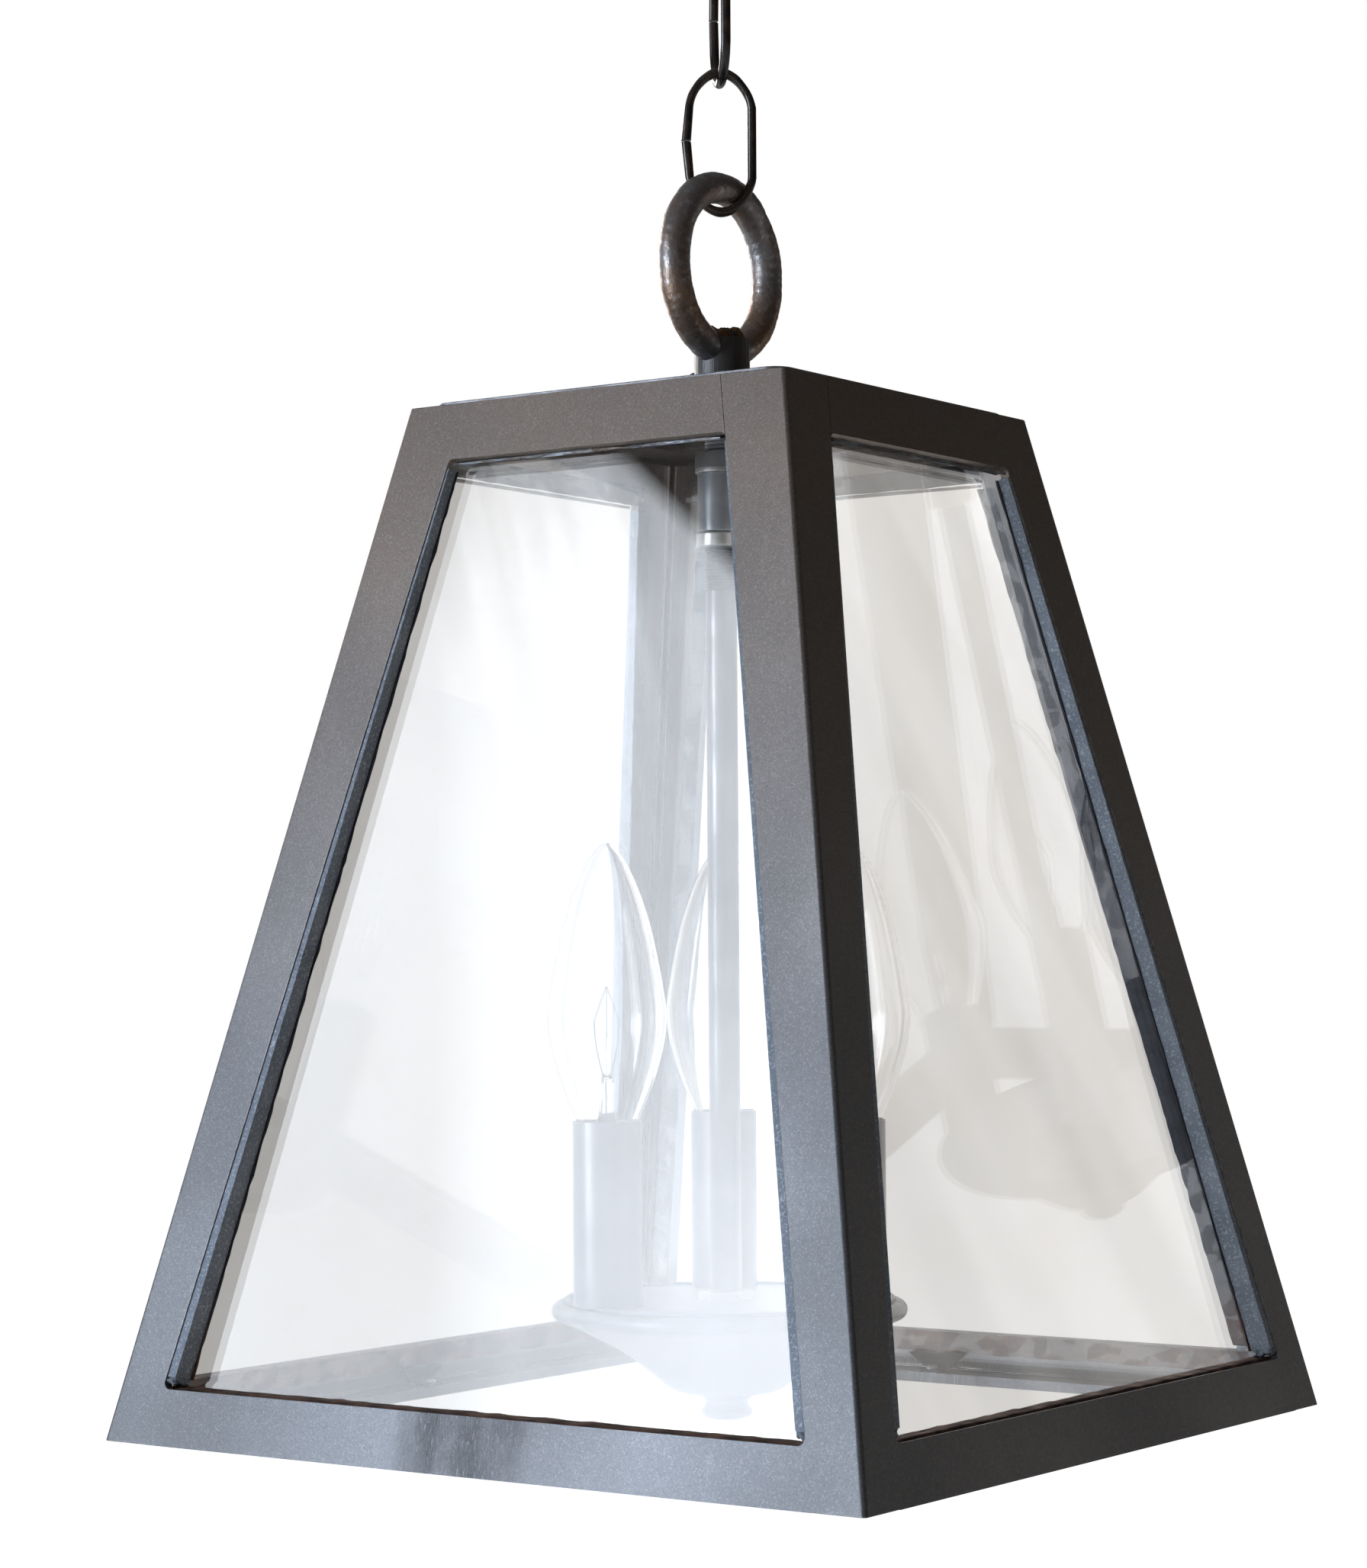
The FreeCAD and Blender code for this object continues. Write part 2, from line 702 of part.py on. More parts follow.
def bulb_body(inset, low):
    """The envelope as a solid, its skin moved inwards by the inset."""
    curve, points = envelope_curve()
    skin = []
    for p in points:
        way = curve.tangent(curve.parameter(p))[0]
        skin.append(p + Vector(way.z, 0, -way.x) * inset)
    inner = Part.BSplineCurve()
    inner.interpolate(skin, InitialTangent=Vector(1, 0, 0), FinalTangent=neck_way())
    neck = Vector(neck_radius - inset, 0, cap_top + 1.5)
    solid = revolved([inner.toShape()] + [Part.makeLine(a, b) for a, b in
                                          ((skin[-1], neck), (neck, Vector(neck.x, 0, low)),
                                           (Vector(neck.x, 0, low), Vector(0, 0, low)),
                                           (Vector(0, 0, low), skin[0]))])
    solid.translate(Vector(candle_circle, 0, 0))
    return solid


def bulb_glass():
    """The envelope, and the pressed glass stem that carries the wires."""
    envelope = bulb_body(0.0, cap_top).cut(bulb_body(bulb_wall, cap_top - 1))
    foot = neck_radius - bulb_wall - stem_foot_room
    stem = turned_profile([(0, cap_top), (foot, cap_top), (foot - 0.6, cap_top + 3), (2.2, cap_top + 9),
                           (2.0, stem_glass_top), (0.8, stem_glass_top + 1.2),
                           (0.8, bead_glass_top - 2), (1.3, bead_glass_top - 1), (0.8, bead_glass_top),
                           (0, bead_glass_top)])
    stem.translate(Vector(candle_circle, 0, 0))
    return [envelope, stem]


def bulb_cap():
    """The screw base with its rolled thread, insulator and centre contact."""
    crest, root, pitch = cap_radius, cap_radius - 0.35, 2.54
    profile = [(0, bulb_foot), (1.9, bulb_foot), (2.2, bulb_foot + 1.0), (root - 1.2, bulb_foot + 2.0),
               (root, bulb_foot + 3.2)]
    for turn in range(4):
        z = bulb_foot + 3.2 + turn * pitch
        profile += [(crest, z + pitch / 2), (root, z + pitch)]
    profile += [(root, cap_top - 2.0), (crest, cap_top - 1.4), (crest, cap_top), (0, cap_top)]
    cap = turned_profile(profile)
    cap.translate(Vector(candle_circle, 0, 0))
    return cap


def bulb_filament():
    """Two lead-in wires, the filament and the hook at its top."""
    x = candle_circle
    apex = Vector(x, 0, filament_apex)
    pieces = [rod(Vector(x, 0, bead_glass_top), apex, support_wire)]
    for side in (1, -1):
        foot = Vector(x, side * 1.5, stem_glass_top)
        bend = Vector(x, side * filament_spread, bead_glass_top)
        head = Vector(x, side * filament_spread, filament_foot)
        pieces += [rod(foot, bend, support_wire), rod(bend, head, support_wire),
                   rod(head, apex, filament_wire)]
        pieces += [Part.makeSphere(support_wire, p) for p in (bend, head)]
    return pieces[0].fuse(pieces[1:])


# ---------------------------------------------------------------- assembly
os.makedirs("parts", exist_ok=True)

post = corner_post()
lower_rail = base_rail().cut(clip_screw_hole())
upper_rail = top_rail()
pane = glass_pane()
stop = glass_stop()
for k, side in enumerate(side_names):
    angle = 90 * k
    export("corner_post_" + corner_names[k], turned(post, angle))
    export("base_rail_" + side, turned(lower_rail, angle))
    export("top_rail_" + side, turned(upper_rail, angle))
    export("glass_pane_" + side, turned(pane, angle))
    export("glass_stops_" + side, turned(stop, angle), turned(mirrored(stop), angle))

quarter_turns = [90 * k for k in range(4)]
export("glazing_seals", *[turned(s, a) for a in quarter_turns for s in side_seals()])
export("glass_clips", *[turned(glass_clip(), a) for a in quarter_turns])
export("clip_screws", *[turned(clip_screw(), a) for a in quarter_turns])

export("cap_plate", cap_plate())
export("ring_boss", ring_boss())
export("hanging_ring", hanging_ring())
export("weld_bead", weld_bead())
export("wire_bushing", wire_bushing())
export("chain_link_lower", chain_link(lower_link_foot, link_turn_lower))
export("chain_link_upper", chain_link(upper_link_foot, link_turn_upper))

export("top_nipple", top_nipple())
export("stem_nuts", *stem_nuts())
export("stem_washer", stem_washer())
export("coupling_tube", coupling_tube())
export("coupling_collar", coupling_collar())
export("centre_pipe", centre_pipe())

export("cluster_pan", cluster_pan())
export("cluster_cover", cluster_cover())
export("pan_nuts", *pan_nuts())
export("finial", finial())
export("candle_posts", *round_the_candles(candle_post()))
export("post_nuts", *[n for nut in post_nuts() for n in round_the_candles(nut)])
export("socket_bodies", *round_the_candles(socket_body()))
export("socket_shells", *round_the_candles(socket_shell()))
export("socket_contacts", *round_the_candles(socket_contact()))
export("socket_leads", *round_the_candles(socket_lead()))
export("splice_caps", *round_the_candles(splice_cap()))
for k in range(candle_count):
    number = str(k + 1)
    export("candle_sleeve_" + number, turned(candle_sleeve(), candle_turn(k)))
    export("bulb_glass_" + number, *[turned(s, candle_turn(k)) for s in bulb_glass()])
    export("bulb_cap_" + number, turned(bulb_cap(), candle_turn(k)))
    export("bulb_filament_" + number, turned(bulb_filament(), candle_turn(k)))
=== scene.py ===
import json
import math

import bmesh
import bpy
from mathutils import Matrix, Vector, noise


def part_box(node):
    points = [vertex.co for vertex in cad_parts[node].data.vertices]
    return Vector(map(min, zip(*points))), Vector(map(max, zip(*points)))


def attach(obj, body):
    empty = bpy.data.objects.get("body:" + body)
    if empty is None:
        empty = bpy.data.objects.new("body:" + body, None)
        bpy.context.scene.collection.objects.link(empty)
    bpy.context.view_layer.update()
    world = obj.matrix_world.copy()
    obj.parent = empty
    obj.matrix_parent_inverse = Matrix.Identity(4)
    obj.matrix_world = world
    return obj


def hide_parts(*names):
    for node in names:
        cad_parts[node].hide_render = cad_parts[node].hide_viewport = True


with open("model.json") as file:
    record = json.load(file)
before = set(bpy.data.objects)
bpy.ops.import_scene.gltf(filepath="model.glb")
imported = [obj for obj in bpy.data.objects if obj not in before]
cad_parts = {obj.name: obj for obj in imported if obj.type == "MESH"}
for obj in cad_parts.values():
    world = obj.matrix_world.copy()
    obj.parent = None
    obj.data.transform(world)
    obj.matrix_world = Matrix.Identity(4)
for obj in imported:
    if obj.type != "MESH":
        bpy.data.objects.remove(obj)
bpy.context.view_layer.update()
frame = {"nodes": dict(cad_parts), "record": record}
cad = frame["nodes"]
mm = 0.001
same_spot = 0.002 * mm           # points closer than this are one point

# Hanging lantern: welded angle-iron frame, four clear panes, a candle cluster on
# a threaded lamp pipe, and a cast ring on a boss, hung from two chain links.


# ---------------------------------------------------------------- sizes from the frame
def low(node):
    return Vector(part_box(node)[0])


def high(node):
    return Vector(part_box(node)[1])


def middle(node):
    return (low(node) + high(node)) / 2


side_names = ["front", "right", "back", "left"]
corner_names = ["front_right", "back_right", "back_left", "front_left"]
candle_numbers = ["1", "2", "3"]

base_z = low("base_rail_front").z
top_z = high("top_rail_front").z
frame_height = top_z - base_z
base_half = high("base_rail_right").x
top_rail_z = low("top_rail_front").z
base_rail_z = high("base_rail_front").z
run = (base_half + low("top_rail_front").y) / (top_rail_z - base_z)
slope = math.atan(run)
lean = math.atan(run * math.cos(slope))
stile_base = 16.2 * mm          # face width of a post at its foot and its head
stile_top = 21.5 * mm
into_face = Vector((0, math.cos(slope), -math.sin(slope)))


def half_side(z):
    return base_half - run * (z - base_z)


def window_edge(z):
    """Half width of the window at a height."""
    width = stile_base + (stile_top - stile_base) * (z - base_z) / frame_height
    return half_side(z) - width / math.cos(lean)


def on_face(u, z, depth=0.0):
    """A point on the front face: u across, z up, depth square into it."""
    return Vector((u, -half_side(z), z)) + into_face * depth


# ---------------------------------------------------------------- at the bench
def select_alone(piece):
    bpy.ops.object.select_all(action="DESELECT")
    piece.select_set(True)
    bpy.context.view_layer.objects.active = piece


def open_piece(piece):
    """Take one piece into edit mode with nothing in it selected."""
    select_alone(piece)
    bpy.ops.object.mode_set(mode="EDIT")
    bpy.ops.mesh.select_mode(type="VERT")
    bpy.ops.mesh.select_all(action="DESELECT")


def close_piece():
    """Leave edit mode with the piece's place in its mesh."""
    bpy.ops.object.mode_set(mode="OBJECT")
    bpy.ops.object.transform_apply(location=True, rotation=True, scale=True)


def select_whole():
    bpy.ops.mesh.select_all(action="SELECT")


def choose(kind, test):
    """Select the open piece's verts, edges or faces that pass a test."""
    shape = bmesh.from_edit_mesh(bpy.context.object.data)
    for part in getattr(shape, kind):
        part.select_set(bool(test(part)))
    shape.select_flush_mode()
    bmesh.update_edit_mesh(bpy.context.object.data)


def start(name, add, **settings):
    """A new primitive, selected alone."""
    bpy.ops.object.select_all(action="DESELECT")
    add(**settings)
    piece = bpy.context.object
    piece.name = piece.data.name = name
    return piece


def knit():
    """Merge doubled points of the open piece and turn its faces outwards."""
    select_whole()
    bpy.ops.mesh.remove_doubles(threshold=same_spot)
    bpy.ops.mesh.normals_make_consistent(inside=False)


def smooth(piece, degrees=32):
    select_alone(piece)
    bpy.ops.object.shade_smooth_by_angle(angle=math.radians(degrees))


def modify(piece, kind, **settings):
    """Add a modifier and apply it."""
    select_alone(piece)
    modifier = piece.modifiers.new(kind.title(), kind)
    for name, value in settings.items():
        setattr(modifier, name, value)
    bpy.ops.object.modifier_apply(modifier=modifier.name)


def turned_copy(piece, name, degrees):
    """A copy with its own mesh, turned about the stem's axis."""
    copy = piece.copy()
    copy.data = piece.data.copy()
    copy.name = copy.data.name = name
    bpy.context.scene.collection.objects.link(copy)
    select_alone(copy)
    copy.rotation_mode = "XYZ"
    copy.rotation_euler.z = math.radians(degrees)
    bpy.ops.object.transform_apply(location=True, rotation=True, scale=True)
    return copy


def remove(*models):
    """Clear away models once their copies are made."""
    for model in models:
        bpy.data.objects.remove(model)


def joined(name, pieces):
    """Several loose pieces as one."""
    bpy.ops.object.select_all(action="DESELECT")
    for piece in pieces:
        piece.select_set(True)
    bpy.context.view_layer.objects.active = pieces[0]
    bpy.ops.object.join()
    pieces[0].name = pieces[0].data.name = name
    return pieces[0]


def rough_up(piece, depth, size, seed=0.0, stretch=(1, 1, 1)):
    """Push every point in or out by smooth noise of one size."""
    piece.data.update()
    shift = Vector((seed, 3.7 * seed, -1.9 * seed))
    moves = []
    for point in piece.data.vertices:
        spot = Vector(a * b for a, b in zip(point.co / size, stretch))
        moves.append(point.normal * depth * noise.noise(spot + shift))
    for point, move in zip(piece.data.vertices, moves):
        point.co += move
    piece.data.update()


def eased(points, reach, steps=3):
    """The outline with each inner corner rounded over the reach."""
    outline = [tuple(points[0])]
    for before, corner, after in zip(points, points[1:], points[2:]):
        a, b, c = Vector(before), Vector(corner), Vector(after)
        cut = min(reach, 0.45 * (a - b).length, 0.45 * (c - b).length)
        first = b + (a - b).normalized() * cut
        last = b + (c - b).normalized() * cut
        for k in range(steps + 1):
            t = k / steps
            outline.append(tuple(first * (1 - t) ** 2 + b * 2 * t * (1 - t) + last * t ** 2))
    return outline + [tuple(points[-1])]


def offsets(corner, *steps):
    """Points at (across, up) offsets in millimetres from a corner."""
    return [(corner[0] + across * mm, corner[1] + up * mm) for across, up in steps]


def flowing(points, steps):
    """A smooth line through all points but the first and the last, which only steer it."""
    line = []
    for a, b, c, d in zip(points, points[1:], points[2:], points[3:]):
        a, b, c, d = Vector(a), Vector(b), Vector(c), Vector(d)
        for k in range(steps):
            t = k / steps
            line.append(tuple(0.5 * (2 * b + (c - a) * t + (2 * a - 5 * b + 4 * c - d) * t * t
                                     + (3 * b - 3 * c + d - a) * t ** 3)))
    return line + [tuple(points[-2])]


def lathe(name, outline, steps=72, centre=(0, 0)):
    """A turned piece from (radius, height) points, made by extruding and spinning a line."""
    x, y = centre
    piece = start(name, bpy.ops.mesh.primitive_plane_add, size=mm,
                  location=(x + outline[0][0], y, outline[0][1]))
    open_piece(piece)
    select_whole()
    bpy.ops.mesh.merge(type="CENTER")
    for (r0, z0), (r1, z1) in zip(outline, outline[1:]):
        bpy.ops.mesh.extrude_vertices_move(TRANSFORM_OT_translate={"value": (r1 - r0, 0, z1 - z0)})
    select_whole()
    bpy.ops.mesh.spin(steps=steps, angle=math.tau, center=(x, y, 0), axis=(0, 0, 1))
    knit()
    close_piece()
    smooth(piece)
    return piece


def wire(name, points, radius, sides=8, curved=False):
    """A round wire bent through points."""
    line = bpy.data.curves.new(name, "CURVE")
    line.dimensions = "3D"
    line.bevel_depth = radius
    line.bevel_resolution = sides // 4
    line.use_fill_caps = True
    spline = line.splines.new("NURBS" if curved else "POLY")
    spline.points.add(len(points) - 1)
    for spot, point in zip(spline.points, points):
        spot.co = (*point, 1)
    if curved:
        spline.order_u = 3
        spline.use_endpoint_u = True
        spline.resolution_u = 6
    piece = bpy.data.objects.new(name, line)
    bpy.context.scene.collection.objects.link(piece)
    select_alone(piece)
    bpy.ops.object.convert(target="MESH")
    open_piece(piece)
    knit()
    close_piece()
    smooth(piece, 50)
    return piece


def eased_copy(name, node, width, joint=None, cuts=()):
    """A copy of a CAD piece with its sharp edges eased. Edges for which joint() is true
    lie against a welded neighbour and stay square. The eased faces are marked as rubbed."""
    piece = cad[node].copy()
    piece.data = cad[node].data.copy()
    piece.name = piece.data.name = name
    piece.parent = None
    for key in list(piece.keys()):
        del piece[key]
    bpy.context.scene.collection.objects.link(piece)
    for slot_name in ("plain", "eased"):
        piece.data.materials.append(bpy.data.materials.new(slot_name))
    eased_slot = len(piece.data.materials) - 1
    select_alone(piece)
    bpy.ops.mesh.customdata_custom_splitnormals_clear()
    open_piece(piece)
    select_whole()
    bpy.ops.mesh.remove_doubles(threshold=same_spot)
    bpy.ops.mesh.dissolve_limited(angle_limit=math.radians(0.5))
    for height in cuts:
        select_whole()
        bpy.ops.mesh.bisect(plane_co=(0, 0, height), plane_no=(0, 0, 1))
    bpy.ops.mesh.select_all(action="DESELECT")
    bpy.ops.mesh.select_mode(type="EDGE")
    bpy.ops.mesh.edges_select_sharp(sharpness=math.radians(30))
    if joint:
        choose("edges", lambda edge: edge.select and not joint(edge))
    bpy.ops.mesh.select_mode(type="EDGE")
    bpy.ops.mesh.bevel(offset=width, segments=2, affect="EDGES", clamp_overlap=True,
                       material=eased_slot)
    close_piece()
    rubbed = piece.data.attributes.new("rubbed", "FLOAT", "FACE")
    for face, mark in zip(piece.data.polygons, rubbed.data):
        mark.value = 1.0 if face.material_index == eased_slot else 0.0
        face.material_index = 0
    smooth(piece)
    modify(piece, "WEIGHTED_NORMAL", keep_sharp=True, weight=100)
    return piece


# ---------------------------------------------------------------- material nodes
def add(tree, kind, values=None, **settings):
    """A node with its sockets set to numbers or linked to other sockets."""
    made = tree.nodes.new("ShaderNode" + kind)
    for name, value in settings.items():
        setattr(made, name, value)
    for name, value in (values or {}).items():
        if isinstance(value, bpy.types.NodeSocket):
            tree.links.new(value, made.inputs[name])
        else:
            made.inputs[name].default_value = value
    return made


def maths(tree, operation, first, second=0.0):
    return add(tree, "Math", {0: first, 1: second}, operation=operation).outputs[0]


def product(tree, *factors):
    """Several values multiplied together."""
    result = factors[0]
    for factor in factors[1:]:
        result = maths(tree, "MULTIPLY", result, factor)
    return result


def towards(tree, way, direction):
    """How far a way leans towards a direction."""
    return add(tree, "VectorMath", {0: way, 1: direction}, operation="DOT_PRODUCT").outputs["Value"]


def ranged(tree, value, start_at, end_at, first=0.0, last=1.0):
    """A value carried from one range to another and held inside it."""
    values = {"Value": value, "From Min": start_at, "From Max": end_at, "To Min": first, "To Max": last}
    return add(tree, "MapRange", values).outputs["Result"]


def mixed(tree, share, first, second):
    """Two colours mixed by a share."""
    return add(tree, "Mix", {0: share, 6: first, 7: second}, data_type="RGBA").outputs[2]


def blended(tree, share, first, second):
    """Two values mixed by a share."""
    return add(tree, "Mix", {0: share, 2: first, 3: second}, data_type="FLOAT").outputs[0]


def grey(value):
    return (value, value, value, 1)


def new_group(name, *outputs, **usual):
    """An empty node group that takes a vector and some numbers, given with their usual values."""
    tree = bpy.data.node_groups.new(name, "ShaderNodeTree")
    new_socket = tree.interface.new_socket
    new_socket(name="Vector", in_out="INPUT", socket_type="NodeSocketVector")
    for socket, value in usual.items():
        made = new_socket(name=socket, in_out="INPUT", socket_type="NodeSocketFloat")
        made.default_value = value
    for socket in outputs:
        new_socket(name=socket, in_out="OUTPUT", socket_type="NodeSocketFloat")
    return tree, tree.nodes.new("NodeGroupInput").outputs, tree.nodes.new("NodeGroupOutput").inputs


def cloud_group():
    """Soft patches of a given size."""
    tree, given, result = new_group("soft_patches", "Mask", Size=20.0)
    cloud = add(tree, "TexNoise", {"Vector": given["Vector"], "Scale": given["Size"], "Detail": 3.0})
    tree.links.new(ranged(tree, cloud.outputs["Fac"], 0.35, 0.65), result["Mask"])
    return tree


def fleck_group():
    """Sparse bright cells, as metal flake in paint."""
    tree, given, result = new_group("metal_flecks", "Mask", Size=1500.0, Share=0.2)
    cells = add(tree, "TexVoronoi", {"Vector": given["Vector"], "Scale": given["Size"]})
    colour = add(tree, "SeparateColor", {"Color": cells.outputs["Color"]})
    start_at = maths(tree, "SUBTRACT", 1.0, given["Share"])
    tree.links.new(ranged(tree, colour.outputs["Red"], start_at, 1.0), result["Mask"])
    return tree


def grain_group():
    """Fine pimples and hollows: a height, and a mask of the high spots."""
    tree, given, result = new_group("paint_grain", "Height", "Mask", Size=900.0)
    fine = add(tree, "TexNoise", {"Vector": given["Vector"], "Scale": given["Size"], "Detail": 2.0,
                                  "Roughness": 0.6})
    broad_size = product(tree, given["Size"], 0.2)
    broad = add(tree, "TexNoise", {"Vector": given["Vector"], "Scale": broad_size, "Detail": 1.0})
    height = maths(tree, "ADD", fine.outputs["Fac"], product(tree, broad.outputs["Fac"], 0.6))
    tree.links.new(height, result["Height"])
    tree.links.new(ranged(tree, fine.outputs["Fac"], 0.52, 0.7), result["Mask"])
    return tree


def stroke_group():
    """Long thin marks, as a wheel or a brush leaves. The vector is stretched before it comes in."""
    tree, given, result = new_group("tool_strokes", "Mask", Size=400.0, Share=0.4)
    lines = add(tree, "TexNoise", {"Vector": given["Vector"], "Scale": given["Size"], "Detail": 3.0,
                                   "Roughness": 0.7})
    start_at = maths(tree, "SUBTRACT", 0.75, product(tree, given["Share"], 0.5))
    end_at = maths(tree, "ADD", start_at, 0.12)
    tree.links.new(ranged(tree, lines.outputs["Fac"], start_at, end_at), result["Mask"])
    return tree


def rubbed_group():
    """Paint thinned on the eased edges, in patches."""
    tree, given, result = new_group("rubbed_edges", "Mask", Size=300.0, Amount=0.6)
    mark = add(tree, "Attribute", attribute_name="rubbed")
    patches = add(tree, "TexNoise", {"Vector": given["Vector"], "Scale": given["Size"], "Detail": 3.0})
    patchy = ranged(tree, patches.outputs["Fac"], 0.4, 0.6)
    wear_and_reflection = product(tree, mark.outputs["Fac"], patchy)
    tree.links.new(product(tree, wear_and_reflection, given["Amount"]), result["Mask"])
    return tree


groups = {"patches": cloud_group(), "flecks": fleck_group(), "grain": grain_group(),
          "strokes": stroke_group(), "rubbed": rubbed_group()}


class Finish:
    """A material being mixed: its node tree, its shader and the piece's own coordinates."""

    def __init__(self, name, **constants):
        self.material = bpy.data.materials.new(name)
        self.material.use_nodes = True
        self.tree = self.material.node_tree
        self.shader = self.tree.nodes["Principled BSDF"]
        self.place = add(self.tree, "TexCoord").outputs["Object"]
        for socket, value in constants.items():
            self.shader.inputs[socket.replace("_", " ")].default_value = value

    def stretched(self, x, y, z, turn=(0, 0, 0)):
        """The piece's coordinates, scaled along each axis."""
        return add(self.tree, "Mapping", {"Vector": self.place, "Scale": (x, y, z),
                                          "Rotation": tuple(math.radians(a) for a in turn)}).outputs[0]

    def mark(self, name, output="Mask", **values):
        """One of the shared effects, on the piece's coordinates unless others are given."""
        made = self.tree.nodes.new("ShaderNodeGroup")
        made.node_tree = groups[name]
        for socket, value in {"Vector": self.place, **values}.items():
            if isinstance(value, bpy.types.NodeSocket):
                self.tree.links.new(value, made.inputs[socket])
            else:
                made.inputs[socket].default_value = value
        return made.outputs[output]

    def laid(self, under, mask, share, colour):
        """A colour laid over another where the mask shows, by a share."""
        return mixed(self.tree, product(self.tree, mask, share), under, colour)

    def feed(self, socket, value):
        self.tree.links.new(value, self.shader.inputs[socket])

    def done(self, colour, mask, roughness, height, depth, strength):
        """The material with its colour, its roughness from a mask, and a bump of a depth."""
        self.feed("Base Color", colour)
        self.feed("Roughness", ranged(self.tree, mask, 0.0, 1.0, *roughness))
        values = {"Height": height, "Distance": depth, "Strength": strength}
        self.feed("Normal", add(self.tree, "Bump", values).outputs["Normal"])
        return self.material


def frame_paint():
    """Satin pewter paint on steel, with flake, grinding marks and brush marks, and a painted reflection
    that turns the colour from blue-grey low down to warm beige at the top.
    """
    coat = Finish("frame_paint", Metallic=0.75, IOR=1.45)
    tree, place = coat.tree, coat.place
    patch = coat.mark("patches", Size=14.0)
    fleck = coat.mark("flecks", Size=2900.0, Share=0.25)
    dark_fleck = coat.mark("flecks", Vector=coat.stretched(1.07, 1.03, 0.96), Size=2100.0, Share=0.35)
    grain = coat.mark("grain", "Height", Size=2400.0)
    brush_way = coat.stretched(1, 1, 0.16, turn=(0, 52, 0))
    brushed = coat.mark("strokes", Vector=brush_way, Size=260.0, Share=0.32)
    rubbed = coat.mark("rubbed", Size=420.0, Amount=0.55)
    spot = add(tree, "SeparateXYZ", {"Vector": place})
    # Painted reflection and light: blue-grey low down, where the bluish window would reflect, and warm
    # beige towards the top.
    painted_light_by_height = ranged(tree, spot.outputs["Z"], base_z + 0.1, top_z - 0.02)
    colour = mixed(tree, painted_light_by_height, (0.226, 0.226, 0.236, 1), (0.272, 0.216, 0.178, 1))
    colour = coat.laid(colour, patch, 0.25, grey(0.18))
    colour = coat.laid(colour, dark_fleck, 0.3, grey(0.12))
    colour = coat.laid(colour, fleck, 0.35, (0.48, 0.47, 0.45, 1))
    ground_zone = grinding_zone(coat, spot)
    ground_lines = coat.mark("strokes", Vector=coat.stretched(1, 1, 0.03), Size=1600.0, Share=0.7)
    ground = product(tree, ground_lines, ground_zone)
    colour = coat.laid(colour, ground, 0.65, grey(0.07))
    colour = coat.laid(colour, brushed, 0.14, grey(0.36))
    colour = mixed(tree, rubbed, colour, (0.46, 0.43, 0.39, 1))
    height = maths(tree, "ADD", grain, product(tree, ground, -1.4))
    return coat.done(colour, patch, (0.42, 0.5), height, 0.05 * mm, 0.6)


def grinding_zone(coat, spot):
    """Where a wheel has run over the paint: the middle of the front and back lower rails."""
    tree = coat.tree
    across = maths(tree, "ABSOLUTE", spot.outputs["X"])
    middle_of_rail = ranged(tree, across, 16 * mm, 25 * mm, 1.0, 0.0)
    low_down = ranged(tree, spot.outputs["Z"], base_z + 17 * mm, base_z + 21 * mm, 1.0, 0.0)
    ragged = coat.mark("patches", Vector=coat.stretched(1, 1, 0.2), Size=160.0)
    zone = product(tree, middle_of_rail, low_down)
    uneven = maths(tree, "ADD", 0.35, product(tree, ragged, 0.65))
    return product(tree, zone, uneven)


def stop_paint():
    """Coarse sandy paint on the glass stops."""
    coat = Finish("stop_paint", Metallic=0.45, IOR=1.45)
    tree = coat.tree
    sand = coat.mark("grain", "Height", Size=1250.0)
    crest = coat.mark("grain", Size=1250.0)
    patch = coat.mark("patches", Size=60.0)
    rubbed = coat.mark("rubbed", Size=500.0, Amount=0.7)
    colour = mixed(tree, patch, (0.22, 0.25, 0.29, 1), (0.3, 0.335, 0.38, 1))
    colour = coat.laid(colour, crest, 0.6, (0.6, 0.65, 0.72, 1))
    colour = mixed(tree, rubbed, colour, (0.42, 0.45, 0.5, 1))
    return coat.done(colour, crest, (0.62, 0.42), sand, 0.22 * mm, 0.9)


def bedding():
    """Dull bedding compound squeezed out along the glass: brown on the sills, near black above, where
    the near black is painted shade in the recess between stop and glass.
    """
    coat = Finish("bedding", IOR=1.4)
    tree, place = coat.tree, coat.place
    patch = coat.mark("patches", Size=130.0)
    lump = coat.mark("grain", "Height", Size=700.0)
    rise = add(tree, "SeparateXYZ", {"Vector": place}).outputs["Z"]
    brown = mixed(tree, patch, (0.2, 0.1, 0.065, 1), (0.09, 0.055, 0.042, 1))
    # Near black above the sills: painted shade in the narrow recess between stop and glass.
    dark = mixed(tree, patch, (0.05, 0.052, 0.062, 1), (0.03, 0.032, 0.04, 1))
    above = ranged(tree, rise, base_rail_z + 6 * mm, base_rail_z + 20 * mm)
    colour = mixed(tree, above, brown, dark)
    return coat.done(colour, patch, (0.55, 0.75), lump, 0.15 * mm, 0.8)


def clear_material(name, tint):
    """Clear glass that lets light through to what stands behind it."""
    coat = Finish(name, Roughness=0.0, IOR=1.5, Transmission_Weight=1.0)
    tree = coat.tree
    patch = coat.mark("patches", Size=30.0)
    coat.feed("Base Color", mixed(tree, patch, tint, grey(1.0)))
    light_path = add(tree, "LightPath")
    coat.feed("Alpha", ranged(tree, light_path.outputs["Is Shadow Ray"], 0.0, 1.0, 1.0, 0.08))
    return coat.material


